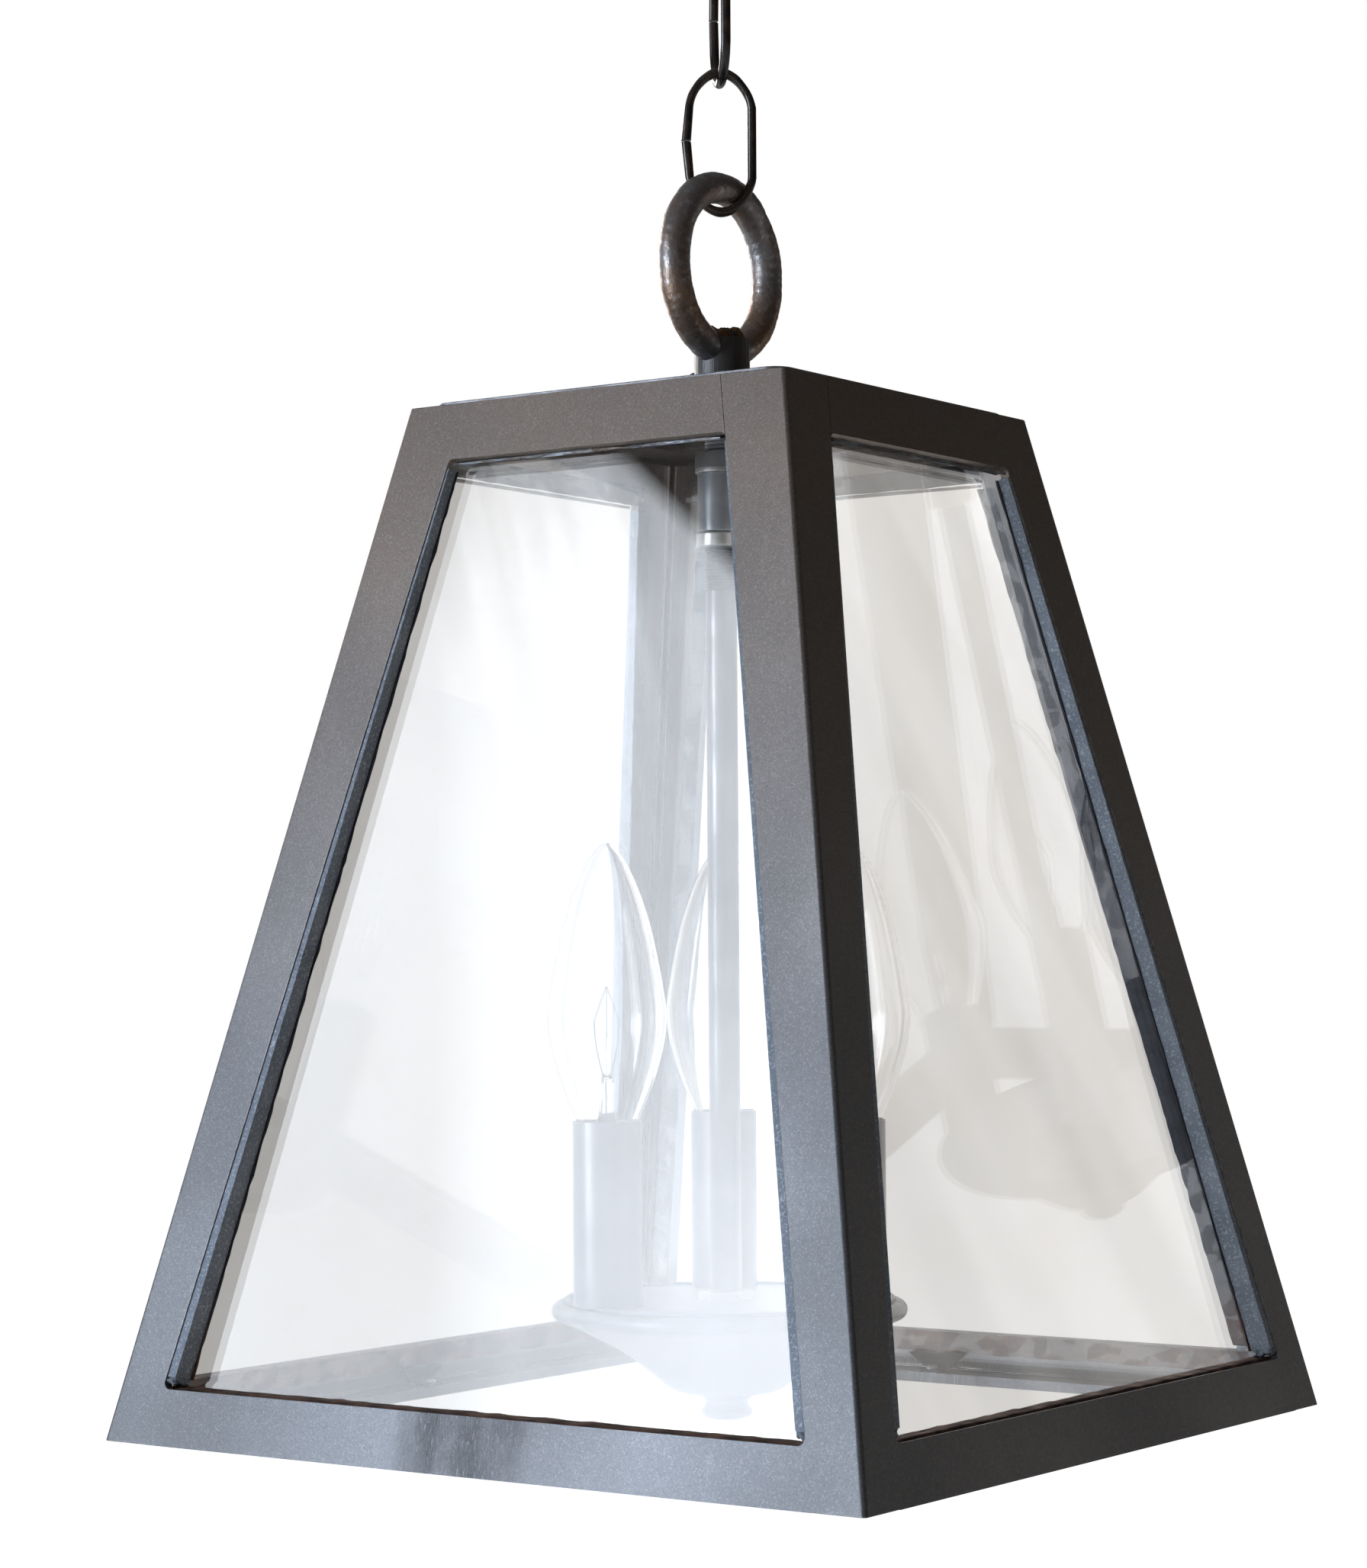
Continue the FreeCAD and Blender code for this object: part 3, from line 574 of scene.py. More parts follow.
def plain_metal(name, colour, metallic, rough, grain_size, depth, second=None, strokes=None):
    """Bare or thinly painted metal with patches, grain and, if asked, tool strokes."""
    coat = Finish(name, Metallic=metallic, IOR=1.45)
    tree = coat.tree
    patch = coat.mark("patches", Size=90.0)
    base = mixed(tree, patch, (*colour, 1), (*(second or [c * 0.72 for c in colour]), 1))
    rubbed = coat.mark("rubbed", Size=500.0, Amount=0.6)
    base = mixed(tree, rubbed, base, (*[min(1.0, c * 1.9 + 0.06) for c in colour], 1))
    height = coat.mark("grain", "Height", Size=grain_size)
    if strokes:
        marks = coat.mark("strokes", Vector=coat.stretched(*strokes), Size=600.0, Share=0.5)
        base = coat.laid(base, marks, 0.35, (*[c * 0.5 for c in colour], 1))
        height = maths(tree, "ADD", height, marks)
    return coat.done(base, patch, (rough, min(1.0, rough + 0.13)), height, depth * mm, 0.7)


def ring_iron():
    """Black-brown iron with forge ripples, warm scale and polished high spots."""
    coat = Finish("ring_iron", Metallic=0.85, IOR=1.5)
    tree = coat.tree
    scale_patch = coat.mark("patches", Size=38.0)
    crest = coat.mark("grain", Size=420.0)
    pits = coat.mark("grain", "Height", Size=800.0)
    colour = mixed(tree, scale_patch, (0.36, 0.36, 0.375, 1), (0.42, 0.26, 0.16, 1))
    colour = coat.laid(colour, crest, 0.5, (0.72, 0.72, 0.74, 1))
    return coat.done(colour, crest, (0.45, 0.3), pits, 0.16 * mm, 0.8)


def weld_metal():
    """Weld beads: brown with rust in the hollows."""
    coat = Finish("weld_metal", Metallic=0.4, IOR=1.5)
    tree = coat.tree
    rust = coat.mark("patches", Size=260.0)
    crest = coat.mark("grain", Size=500.0)
    lump = coat.mark("grain", "Height", Size=900.0)
    colour = mixed(tree, rust, (0.05, 0.042, 0.038, 1), (0.3, 0.15, 0.055, 1))
    colour = coat.laid(colour, crest, 0.4, (0.42, 0.35, 0.26, 1))
    return coat.done(colour, rust, (0.45, 0.8), lump, 0.2 * mm, 0.9)


def chain_black():
    """Gloss black lacquer with a few chips down to brown, and soft brown patches that are a painted warm
    reflection along the limbs.
    """
    coat = Finish("chain_black", Metallic=0.0, IOR=1.5, Coat_Weight=0.6, Coat_Roughness=0.08)
    tree = coat.tree
    chips = coat.mark("grain", Size=180.0)
    wear_and_reflection = coat.mark("patches", Size=90.0)
    wave = coat.mark("grain", "Height", Size=300.0)
    # The soft brown patches are a painted warm reflection; the chips laid over them are real.
    colour = mixed(tree, wear_and_reflection, (0.014, 0.013, 0.013, 1), (0.055, 0.036, 0.024, 1))
    colour = coat.laid(colour, chips, 0.3, (0.12, 0.085, 0.06, 1))
    return coat.done(colour, wear_and_reflection, (0.16, 0.3), wave, 0.04 * mm, 0.4)


def candle_paint():
    """Satin grey paint on the sleeves, with faint draw lines along the tube, lightened as a painted
    vertical sheen.
    """
    coat = Finish("candle_paint", Metallic=0.4, IOR=1.5)
    tree = coat.tree
    lines = coat.mark("strokes", Vector=coat.stretched(1, 1, 0.02), Size=700.0, Share=0.4)
    patch = coat.mark("patches", Size=70.0)
    fine = coat.mark("grain", "Height", Size=1600.0)
    colour = mixed(tree, patch, (0.15, 0.158, 0.175, 1), (0.12, 0.126, 0.14, 1))
    # The lines are lighter grey: a painted vertical sheen over the real draw marks, which also give the
    # bump.
    colour = coat.laid(colour, lines, 0.2, grey(0.26))
    height = maths(tree, "ADD", fine, product(tree, lines, 0.5))
    return coat.done(colour, patch, (0.3, 0.38), height, 0.02 * mm, 0.5)


def moulded(name, colour, rough):
    """Moulded plastic, rubber or phenolic with a dull, slightly uneven skin."""
    coat = Finish(name, IOR=1.5)
    tree = coat.tree
    patch = coat.mark("patches", Size=110.0)
    fine = coat.mark("grain", "Height", Size=1100.0)
    colour = mixed(tree, patch, (*colour, 1), (*[c * 0.75 for c in colour], 1))
    return coat.done(colour, patch, (rough, min(1.0, rough + 0.15)), fine, 0.03 * mm, 0.6)


# Colour, metallic, roughness, size of the grain and its depth in millimetres, then for some a
# second colour and how the tool strokes are stretched.
metals = {
    "burr": ((0.3, 0.33, 0.36), 0.6, 0.4, 900.0, 0.1, (0.2, 0.16, 0.13)),
    "clip_paint": ((0.075, 0.075, 0.08), 0.5, 0.5, 900.0, 0.06),
    "screw_steel": ((0.42, 0.42, 0.43), 1.0, 0.35, 1200.0, 0.03),
    "cap_steel": ((0.34, 0.34, 0.35), 0.8, 0.38, 1200.0, 0.04),
    "boss_paint": ((0.17, 0.165, 0.165), 0.6, 0.36, 900.0, 0.06, (0.13, 0.11, 0.1), (1, 1, 0.05)),
    "stem_paint": ((0.2, 0.205, 0.22), 0.7, 0.32, 1200.0, 0.03, None, (1, 1, 0.05)),
    "coupling_paint": ((0.42, 0.43, 0.45), 0.6, 0.34, 1200.0, 0.03),
    "zinc_steel": ((0.5, 0.51, 0.53), 1.0, 0.3, 1200.0, 0.03),
    "bright_washer": ((0.74, 0.73, 0.71), 0.9, 0.34, 1200.0, 0.03),
    "cluster_paint": ((0.15, 0.158, 0.175), 0.4, 0.32, 1500.0, 0.03),
    "socket_brass": ((0.7, 0.5, 0.22), 1.0, 0.28, 1200.0, 0.03),
    "bulb_brass": ((0.72, 0.56, 0.3), 1.0, 0.26, 1200.0, 0.03),
    "tungsten": ((0.22, 0.21, 0.2), 0.9, 0.35, 1500.0, 0.01),
}
mouldings = {
    "bush_plastic": ((0.03, 0.03, 0.03), 0.5),
    "phenolic": ((0.04, 0.035, 0.03), 0.45),
    "lead_sheath": ((0.03, 0.03, 0.03), 0.5),
    "splice_plastic": ((0.68, 0.6, 0.46), 0.45),
}
finishes = {make.__name__: make() for make in (frame_paint, stop_paint, bedding, ring_iron, weld_metal,
                                               chain_black, candle_paint)}
finishes["clear_glass"] = clear_material("clear_glass", (0.985, 0.975, 0.965, 1))
finishes["bulb_clear"] = clear_material("bulb_clear", (0.99, 0.992, 0.995, 1))
finishes.update({name: plain_metal(name, *values) for name, values in metals.items()})
finishes.update({name: moulded(name, *values) for name, values in mouldings.items()})


def fit(piece, finish, *replaced, body="lantern"):
    """Give a piece its finish and body, and hide the CAD nodes it stands for."""
    piece.data.materials.clear()
    piece.data.materials.append(finishes[finish])
    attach(piece, body)
    if replaced:
        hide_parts(*replaced)


def fit_eased(*rows):
    """Pieces that only need their edges eased, by a width in millimetres."""
    for name, node, finish, width in rows:
        fit(eased_copy(name, node, width * mm), finish, node)


for part in frame["record"]["subparts"]:
    slots = cad[part["node"]].material_slots
    slots[0].material = finishes[part["material_slot"]]


# ---------------------------------------------------------------- steel frame
def on_joint_plane(spot):
    """True where a rail's end meets a post, on the front face or on the right one."""
    reach = window_edge(spot.z)
    return abs(abs(spot.x) - reach) < 0.05 * mm or abs(abs(spot.y) - reach) < 0.05 * mm


def beside_rail(edge):
    """A post's edge that lies against a rail."""
    spots = [point.co for point in edge.verts]
    height = sum(spot.z for spot in spots) / 2
    return not base_rail_z < height < top_rail_z and all(on_joint_plane(s) for s in spots)


def rail_end(edge):
    return all(on_joint_plane(point.co) for point in edge.verts)


def weld_frame():
    """Posts and rails, eased along their free edges."""
    ease = 0.35 * mm
    post = eased_copy("post_model", "corner_post_front_right", ease,
                      joint=beside_rail, cuts=(base_rail_z, top_rail_z))
    lower = eased_copy("lower_rail_model", "base_rail_front", ease, joint=rail_end)
    upper = eased_copy("upper_rail_model", "top_rail_front", ease, joint=rail_end)
    for k in range(4):
        for model, stem, node, names in ((post, "steel_post_", "corner_post_", corner_names),
                                         (lower, "lower_rail_", "base_rail_", side_names),
                                         (upper, "upper_rail_", "top_rail_", side_names)):
            fit(turned_copy(model, stem + names[k], 90 * k), "frame_paint", node + names[k])
    remove(post, lower, upper)


def bar_on_face(name, steps, u, z, depth):
    """A bar on the front face between (low, high) limits, cut into steps along u."""
    piece = start(name, bpy.ops.mesh.primitive_cube_add, size=1.0)
    open_piece(piece)
    choose("edges", lambda edge: abs(edge.verts[0].co.x - edge.verts[1].co.x) > 0.5)
    bpy.ops.mesh.subdivide(number_cuts=steps - 1)
    close_piece()
    for point in piece.data.vertices:
        share = point.co + Vector((0.5, 0.5, 0.5))
        ends = ((u, share.x), (z, share.z), (depth, share.y))
        point.co = on_face(*[first + (last - first) * part for (first, last), part in ends])
    piece.data.update()
    return piece


def glaze():
    """Panes with ground edges and sandy stops."""
    pane = eased_copy("pane_model", "glass_pane_front", 0.3 * mm)
    stops = eased_copy("stop_model", "glass_stops_front", 0.25 * mm)
    for k, side in enumerate(side_names):
        fit(turned_copy(pane, "glass_sheet_" + side, 90 * k), "clear_glass", "glass_pane_" + side)
        fit(turned_copy(stops, "stop_bars_" + side, 90 * k), "stop_paint", "glass_stops_" + side)
    remove(pane, stops)


def bed_the_glass():
    """The bedding as squeezed out: uneven along every edge."""
    strips = eased_copy("bedding_strips", "glazing_seals", 0.1 * mm)
    open_piece(strips)
    reach = high("glazing_seals")
    for axis, first in ((0, -reach.x), (1, -reach.y), (2, low("glazing_seals").z)):
        last = (reach.x, reach.y, reach.z)[axis]
        count = int((last - first) / (4 * mm))
        for k in range(1, count):
            place, way = [0, 0, 0], [0, 0, 0]
            place[axis], way[axis] = first + (last - first) * k / count, 1
            select_whole()
            bpy.ops.mesh.bisect(plane_co=place, plane_no=way)
    close_piece()
    rough_up(strips, 0.45 * mm, 3.5 * mm, 1.7)
    fit(strips, "bedding", "glazing_seals")


def dress_the_welds():
    """What the welder left: a ragged burr along each window's head, and a lump of filler
    under the foot of every stop."""
    head_half = window_edge(top_rail_z) - 1.6 * mm
    burr = bar_on_face("burr_model", 150, (-head_half, head_half),
                       (top_rail_z - 0.35 * mm, top_rail_z + 0.3 * mm), (-0.12 * mm, 0.7 * mm))
    rough_up(burr, 0.55 * mm, 1.1 * mm, 0.4)
    rough_up(burr, 0.3 * mm, 5 * mm, 2.4)
    inner, outer = window_edge(base_rail_z) - 3.2 * mm, window_edge(base_rail_z) + 0.8 * mm
    lumps = []
    for seed, (left_end, right_end) in enumerate(((inner, outer), (-outer, -inner))):
        lump = bar_on_face("lump", 6, (left_end, right_end),
                           (base_rail_z - 0.3 * mm, base_rail_z + 3.3 * mm), (0.9 * mm, 7.2 * mm))
        modify(lump, "BEVEL", width=0.5 * mm, segments=2)
        modify(lump, "SUBSURF", levels=2, render_levels=2)
        rough_up(lump, 0.9 * mm, 1.3 * mm, 3.1 + seed)
        lumps.append(lump)
    filler = joined("filler_model", lumps)
    smooth(burr, 60)
    smooth(filler, 60)
    for k, side in enumerate(side_names):
        fit(turned_copy(burr, "head_burr_" + side, 90 * k), "burr")
        fit(turned_copy(filler, "stop_feet_" + side, 90 * k), "stop_paint")
    remove(burr, filler)


def clips_and_cap():
    """Clips, screws, cap plate and bush with their pressed and turned edges eased."""
    clips = eased_copy("fan_clips", "glass_clips", 0.3 * mm)
    rough_up(clips, 0.3 * mm, 4 * mm, 0.9)
    fit(clips, "clip_paint", "glass_clips")
    fit_eased(("round_head_screws", "clip_screws", "screw_steel", 0.12),
              ("cap_sheet", "cap_plate", "cap_steel", 0.35),
              ("inlet_bush", "wire_bushing", "bush_plastic", 0.3))


weld_frame()
glaze()
bed_the_glass()
dress_the_welds()
clips_and_cap()


# ---------------------------------------------------------------- ring and chain
def hanging_ring():
    """Round bar bent into a ring, with hammer ripples across the bar."""
    lowest, highest = low("hanging_ring"), high("hanging_ring")
    rod = highest.x - lowest.x
    centre = (0, 0, (lowest.z + highest.z) / 2)
    radius = (highest.z - lowest.z - rod) / 2
    piece = start("forged_ring", bpy.ops.mesh.primitive_circle_add, vertices=48, radius=rod / 2,
                  location=(0, radius, centre[2]))
    open_piece(piece)
    select_whole()
    bpy.ops.mesh.spin(steps=260, angle=math.tau, center=centre, axis=(1, 0, 0))
    knit()
    close_piece()
    rough_up(piece, 0.28 * mm, 9 * mm, 1.3)
    rough_up(piece, 0.16 * mm, 1.5 * mm, 4.1, (0.35, 1, 1))
    smooth(piece, 60)
    fit(piece, "ring_iron", "hanging_ring")


def ring_foot():
    """The boss under the ring, and the weld where the ring is let into it."""
    boss = eased_copy("ring_post", "ring_boss", 0.5 * mm)
    fit(boss, "boss_paint", "ring_boss")
    lowest, highest = low("weld_bead"), high("weld_bead")
    radius = (highest.x - lowest.x) / 2
    crown = highest.z + 0.6 * mm
    outline = [(0, lowest.z - 1.5 * mm)] + offsets((radius, lowest.z), (0, -1.5), (0, 1.4))
    outline += [(radius - 2.6 * mm, crown), (0, crown)]
    bead = lathe("ring_weld", eased(outline, 1.5 * mm, 5), 64)
    modify(bead, "SUBSURF", levels=1, render_levels=1)
    rough_up(bead, 1.5 * mm, 2.6 * mm, 2.2)
    rough_up(bead, 0.5 * mm, 0.9 * mm, 5.2)
    smooth(bead, 60)
    fit(bead, "weld_metal", "weld_bead")


def chain_link(name, node, body, turn):
    """An oval link bent from round wire, its ends meeting on one limb."""
    wire_size = 3.1 * mm
    lowest, highest = low(node), high(node)
    half = ((highest.x - lowest.x) - wire_size) / 2 / math.cos(math.radians(45))
    top = highest.z - wire_size / 2 - half
    foot = lowest.z + wire_size / 2 + half
    seam = (top + foot) / 2
    gap = 0.5 * mm
    piece = start(name, bpy.ops.mesh.primitive_circle_add, vertices=24, radius=wire_size / 2,
                  location=(-half, 0, seam - gap / 2))
    open_piece(piece)
    select_whole()
    pull = bpy.ops.mesh.extrude_region_move
    pull(TRANSFORM_OT_translate={"value": (0, 0, foot - seam + gap / 2)})
    bpy.ops.mesh.spin(steps=28, angle=math.pi, center=(0, 0, foot), axis=(0, 1, 0))
    pull(TRANSFORM_OT_translate={"value": (0, 0, top - foot)})
    bpy.ops.mesh.spin(steps=28, angle=math.pi, center=(0, 0, top), axis=(0, 1, 0))
    pull(TRANSFORM_OT_translate={"value": (0, 0, seam + gap / 2 - top)})
    select_whole()
    bpy.ops.mesh.fill_holes(sides=0)
    knit()
    close_piece()
    for point in piece.data.vertices:
        height = abs(point.co.z - seam) / (highest.z - seam)
        point.co.x *= 1 - 0.27 * height ** 1.4
    piece.rotation_euler.z = math.radians(turn)
    bpy.ops.object.transform_apply(rotation=True)
    rough_up(piece, 0.12 * mm, 4 * mm, turn)
    smooth(piece, 50)
    fit(piece, "chain_black", node, body=body)


hanging_ring()
ring_foot()
chain_link("oval_link_lower", "chain_link_lower", "lower_link", 45)
chain_link("oval_link_upper", "chain_link_upper", "upper_link", -45)


# ---------------------------------------------------------------- stem
def threads(radius, foot, top):
    """The outline of a cut thread between two heights."""
    pitch, depth = 0.9 * mm, 0.3 * mm
    return [point for k in range(int((top - foot) / pitch))
            for point in ((radius - depth, foot + k * pitch), (radius, foot + (k + 0.5) * pitch))]


def threaded_pipe(name, node, finish, foot, top):
    """A lamp pipe with its thread cut between two heights."""
    lowest, highest = low(node), high(node)
    bore = 3.2 * mm
    radius = highest.x
    outline = [(bore, lowest.z), (radius - 0.1 * mm, lowest.z), (radius - 0.1 * mm, foot)]
    outline += threads(radius, foot, top) + [(radius - 0.1 * mm, top), (radius - 0.1 * mm, highest.z)]
    pipe = lathe(name, outline + [(bore, highest.z), (bore, lowest.z)], 64)
    fit(pipe, finish, node)


def stem():
    """The pipe and its nipple, and the nuts, washer, coupling and collar that hold them."""
    collar_foot = low("coupling_collar").z
    threaded_pipe("lamp_pipe", "centre_pipe", "stem_paint", top_z - 54.4 * mm, collar_foot + 1 * mm)
    threaded_pipe("thread_nipple", "top_nipple", "zinc_steel",
                  low("stem_nuts").z + 4.5 * mm, top_z - 2.5 * mm)
    fit_eased(("nipple_nuts", "stem_nuts", "zinc_steel", 0.3),
              ("steel_washer", "stem_washer", "bright_washer", 0.25),
              ("long_coupling", "coupling_tube", "coupling_paint", 0.4),
              ("bright_collar", "coupling_collar", "bright_washer", 0.2),
              ("hub_nuts", "pan_nuts", "zinc_steel", 0.25),
              ("candle_nuts", "post_nuts", "zinc_steel", 0.2))


stem()


# ---------------------------------------------------------------- bulbs and candles
def candle_centre(k):
    spot = middle("candle_sleeve_" + candle_numbers[k])
    return spot.x, spot.y


def sleeves():
    for k, number in enumerate(candle_numbers):
        node = "candle_sleeve_" + number
        lowest, highest = low(node), high(node)
        outer = (highest.x - lowest.x) / 2
        inner = outer - 0.6 * mm
        outline = [(inner, lowest.z), (outer, lowest.z), (outer, highest.z), (inner, highest.z),
                   (inner, lowest.z)]
        piece = lathe("candle_tube_" + number, eased(outline, 0.35 * mm), 80, candle_centre(k))
        fit(piece, "candle_paint", node)


def bulbs():
    """Flame bulbs: a blown envelope, a pressed stem inside it, a coiled filament and a screw cap."""
    flame = [(0.076, 0.355), (0.279, 0.722), (0.545, 0.974), (0.673, 1.0), (0.822, 0.848)]
    for k, number in enumerate(candle_numbers):
        centre = candle_centre(k)
        lowest, highest = low("bulb_glass_" + number), high("bulb_glass_" + number)
        radius = (highest.x - lowest.x) / 2
        mouth = high("candle_sleeve_" + number).z
        length = highest.z - mouth
        neck = 6.3 * mm
        line = [(radius * r, highest.z - length * d) for d, r in flame]
        line = [(-line[0][0], line[0][1]), (0, highest.z)] + line
        line += [(9.25 * mm, mouth), (neck, mouth - 5.4 * mm), (neck, lowest.z)]
        outline = flowing(line, 9)
        outline.append((neck, lowest.z))
        shell = lathe("bulb_envelope_" + number, outline, 72, centre)
        modify(shell, "SOLIDIFY", thickness=0.6 * mm, offset=-1)
        smooth(shell, 60)
        stem = lathe("bulb_stem_" + number, pressed_stem(lowest.z), 40, centre)
        glass = joined("bulb_envelope_" + number, [shell, stem])
        wires = filament("bulb_coil_" + number, centre, lowest.z)
        cap = screw_cap("bulb_thread_" + number, "bulb_cap_" + number, centre)
        for piece, finish, part in ((glass, "bulb_clear", "glass"), (wires, "tungsten", "filament"),
                                    (cap, "bulb_brass", "cap")):
            fit(piece, finish, "bulb_" + part + "_" + number, body="bulb_" + number)


def pressed_stem(foot):
    """The outline of the glass stem inside a bulb, from its foot up."""
    shape = offsets((0, foot), (0, 0), (5.4, 0), (4.6, 3.5), (2.4, 9), (2.0, 14), (2.5, 18.5),
                    (1.0, 20.6), (0.8, 27.5), (1.35, 29.8), (0.9, 31.3), (0, 31.4))
    return eased(shape, 1.2 * mm, 4)


def screw_cap(name, node, centre):
    """A rolled screw cap with its insulator and centre contact."""
    lowest, highest = low(node), high(node)
    crest = (highest.x - lowest.x) / 2
    root, pitch = crest - 0.35 * mm, 2.54 * mm
    thread_foot = lowest.z + 3.2 * mm
    outline = offsets((0, lowest.z), (0, 0), (1.9, 0), (2.2, 1.0), (4.4, 2.0)) + [(root, thread_foot)]
    for turn in range(4):
        z = thread_foot + turn * pitch
        outline += [(crest, z + pitch / 2), (root, z + pitch)]
    outline += [(root, highest.z - 2.0 * mm), (crest, highest.z - 1.4 * mm)]
    outline += [(crest, highest.z), (0, highest.z)]
    return lathe(name, eased(outline, 0.7 * mm), 64, centre)


def filament(name, centre, foot):
    """Lead-in wires, an inverted V of fine coil, and the hook that holds its top."""
    x, y = centre
    apex = Vector((x, y, foot + 46.6 * mm))
    parts = [wire(name + "_hook", [Vector((x, y, foot + 31 * mm)), apex], 0.16 * mm)]
    for side in (1, -1):
        spots = [Vector((x, y + side * across * mm, foot + up * mm))
                 for across, up in ((1.5, 18), (1.9, 20), (4.6, 27), (5.9, 31.5), (6.2, 36.4))]
        parts.append(wire(name + "_lead", spots, 0.2 * mm, curved=True))
        parts.append(wire(name + "_coil", coil(spots[-1], apex, 0.3 * mm, 22), 0.09 * mm, 4))
    return joined(name, parts)


def coil(first, last, radius, turns):
    """Points of a helix from one place to another."""
    steps = 7
    way = (last - first).normalized()
    side = way.orthogonal().normalized()
    other = way.cross(side)
    count = turns * steps
    return [first + (last - first) * (k / count)
            + (side * math.cos(math.tau * k / steps) + other * math.sin(math.tau * k / steps)) * radius
            for k in range(count + 1)]


sleeves()
bulbs()


# ---------------------------------------------------------------- cluster
def cluster():
    """The pan with its rolled rim, the ogee cover and the turned finial."""
    top = high("cluster_pan").z
    rim = high("cluster_pan").x
    roll = 2.65 * mm
    roll_z = low("cluster_pan").z + roll
    shoulder = rim - roll
    curl = [(shoulder + roll * math.cos(a), roll_z + roll * math.sin(a))
            for a in (math.radians(118 - 16 * k) for k in range(19))]
    hole = 4.9 * mm
    small_bead = offsets((shoulder, top), (-3.4, 0), (-3.0, 0.6), (-2.4, 0.9), (-1.6, 0.9), (-1.1, 0.55),
                         (-1.1, -0.5))
    underside = [(shoulder - 2.6 * mm, top - 1.3 * mm), (hole, top - 1.2 * mm), (hole, top)]
    outline = [(hole, top)] + small_bead + curl + underside
    pan = lathe("candle_pan", outline, 128)
    fit(pan, "cluster_paint", "cluster_pan")

    foot, crown = low("cluster_cover").z, high("cluster_cover").z
    wide = high("cluster_cover").x
    curve = offsets((0, foot), (0, 0), (3.1, 0.2), (8.4, 0), (13.0, 0.5), (17.0, 1.8), (21.5, 5.3),
                    (30.4, 12.4)) + offsets((wide, crown), (-6.4, -3), (0, 0), (6, 4))
    cover = lathe("ogee_cover", flowing(curve, 6), 128)
    modify(cover, "SOLIDIFY", thickness=1.2 * mm, offset=-1)
    smooth(cover, 50)
    fit(cover, "cluster_paint", "cluster_cover")

    foot = low("finial").z
    knob = offsets((0, foot), (0, 0), (4.6, 0), (7.2, 1.0), (7.9, 2.4), (7.1, 3.7), (6.3, 4.7),
                   (6.5, 5.6), (8.0, 7.0), (8.0, 7.6), (0, 7.6))
    turned = lathe("turned_finial", eased(knob, 0.8 * mm, 4), 80)
    fit(turned, "cluster_paint", "finial")


cluster()


# ---------------------------------------------------------------- studio
def world_light():
    """White for the eye and through glass; a dim room, lighter on the left, for what it lights."""
    world = bpy.data.worlds.new("studio")
    world.use_nodes = True
    bpy.context.scene.world = world
    tree = world.node_tree
    tree.nodes.clear()
    way = add(tree, "TexCoord").outputs["Generated"]
    upper_left = ranged(tree, towards(tree, way, (-0.75, -0.35, 0.55)), -0.5, 0.9)
    room = mixed(tree, upper_left, (0.022, 0.019, 0.017, 1), (0.14, 0.14, 0.145, 1))
    right = ranged(tree, towards(tree, way, (0.82, 0.57, 0)), -0.1, 0.15)
    backdrop = mixed(tree, right, (0.46, 0.452, 0.44, 1), (0.7, 0.685, 0.665, 1))
    path = add(tree, "LightPath").outputs
    seen = mixed(tree, path["Is Transmission Ray"], room, backdrop)
    seen = mixed(tree, path["Is Camera Ray"], seen, grey(1.0))
    glow = add(tree, "Background", {"Color": seen, "Strength": 1.0})
    tree.links.new(glow.outputs[0], tree.nodes.new("ShaderNodeOutputWorld").inputs["Surface"])


def floor():
    """A pale floor far below the lantern, left out of the images in clear glass."""
    piece = start("floor", bpy.ops.mesh.primitive_circle_add, vertices=96, radius=14.0,
                  fill_type="NGON", location=(0, 0, base_z - 0.9))
    coat = Finish("floor_white", Roughness=0.8, IOR=1.3)
    patch = coat.mark("patches", Size=0.6)
    coat.feed("Base Color", mixed(coat.tree, patch, grey(0.8), grey(0.83)))
    seen = add(coat.tree, "LightPath").outputs["Is Camera Ray"]
    coat.feed("Emission Color", mixed(coat.tree, seen, grey(0.1), grey(1.0)))
    coat.shader.inputs["Emission Strength"].default_value = 1.0
    sharp = add(coat.tree, "LightPath").outputs["Is Singular Ray"]
    clear = add(coat.tree, "BsdfTransparent")
    both = add(coat.tree, "MixShader", {0: sharp, 1: coat.shader.outputs[0], 2: clear.outputs[0]})
    coat.tree.links.new(both.outputs[0], coat.tree.nodes["Material Output"].inputs["Surface"])
    piece.visible_transmission = False
    piece.data.materials.append(coat.material)


def softbox(name, place, width, height, paint, in_glass=True):
    """A glowing panel that faces the lantern and is seen only in reflections. Paint gives a
    colour and a strength for what it lights, then the same for its image in clear glass."""
    piece = start(name, bpy.ops.mesh.primitive_plane_add, size=1.0)
    facing = (lantern_middle - Vector(place)).to_track_quat("Z", "Y").to_matrix().to_4x4()
    piece.matrix_world = Matrix.Translation(place) @ facing @ Matrix.Diagonal((width, height, 1, 1))
    material = bpy.data.materials.new(name)
    material.use_nodes = True
    tree = material.node_tree
    tree.nodes.clear()
    local = add(tree, "TexCoord").outputs["Object"]
    metres = add(tree, "VectorMath", {0: local, 1: (width, height, 1)}, operation="MULTIPLY").outputs[0]
    spot = add(tree, "SeparateXYZ", {"Vector": metres}).outputs
    colour, strength, image_colour, image_strength = paint(tree, spot["X"], spot["Y"])
    sharp = add(tree, "LightPath").outputs["Is Singular Ray"]
    glow = add(tree, "Emission", {"Color": mixed(tree, sharp, colour, image_colour),
                                  "Strength": blended(tree, sharp, strength, image_strength)})
    dark = add(tree, "Emission", {"Strength": 0.0})
    behind = add(tree, "NewGeometry").outputs["Backfacing"]
    both = add(tree, "MixShader", {0: behind, 1: glow.outputs[0], 2: dark.outputs[0]})
    tree.links.new(both.outputs[0], tree.nodes.new("ShaderNodeOutputMaterial").inputs["Surface"])
    piece.data.materials.append(material)
    piece.visible_camera = False
    piece.visible_shadow = False
    piece.visible_transmission = in_glass


def leaning_from(tree, across, rise, share):
    return maths(tree, "SUBTRACT", across, product(tree, rise, share))


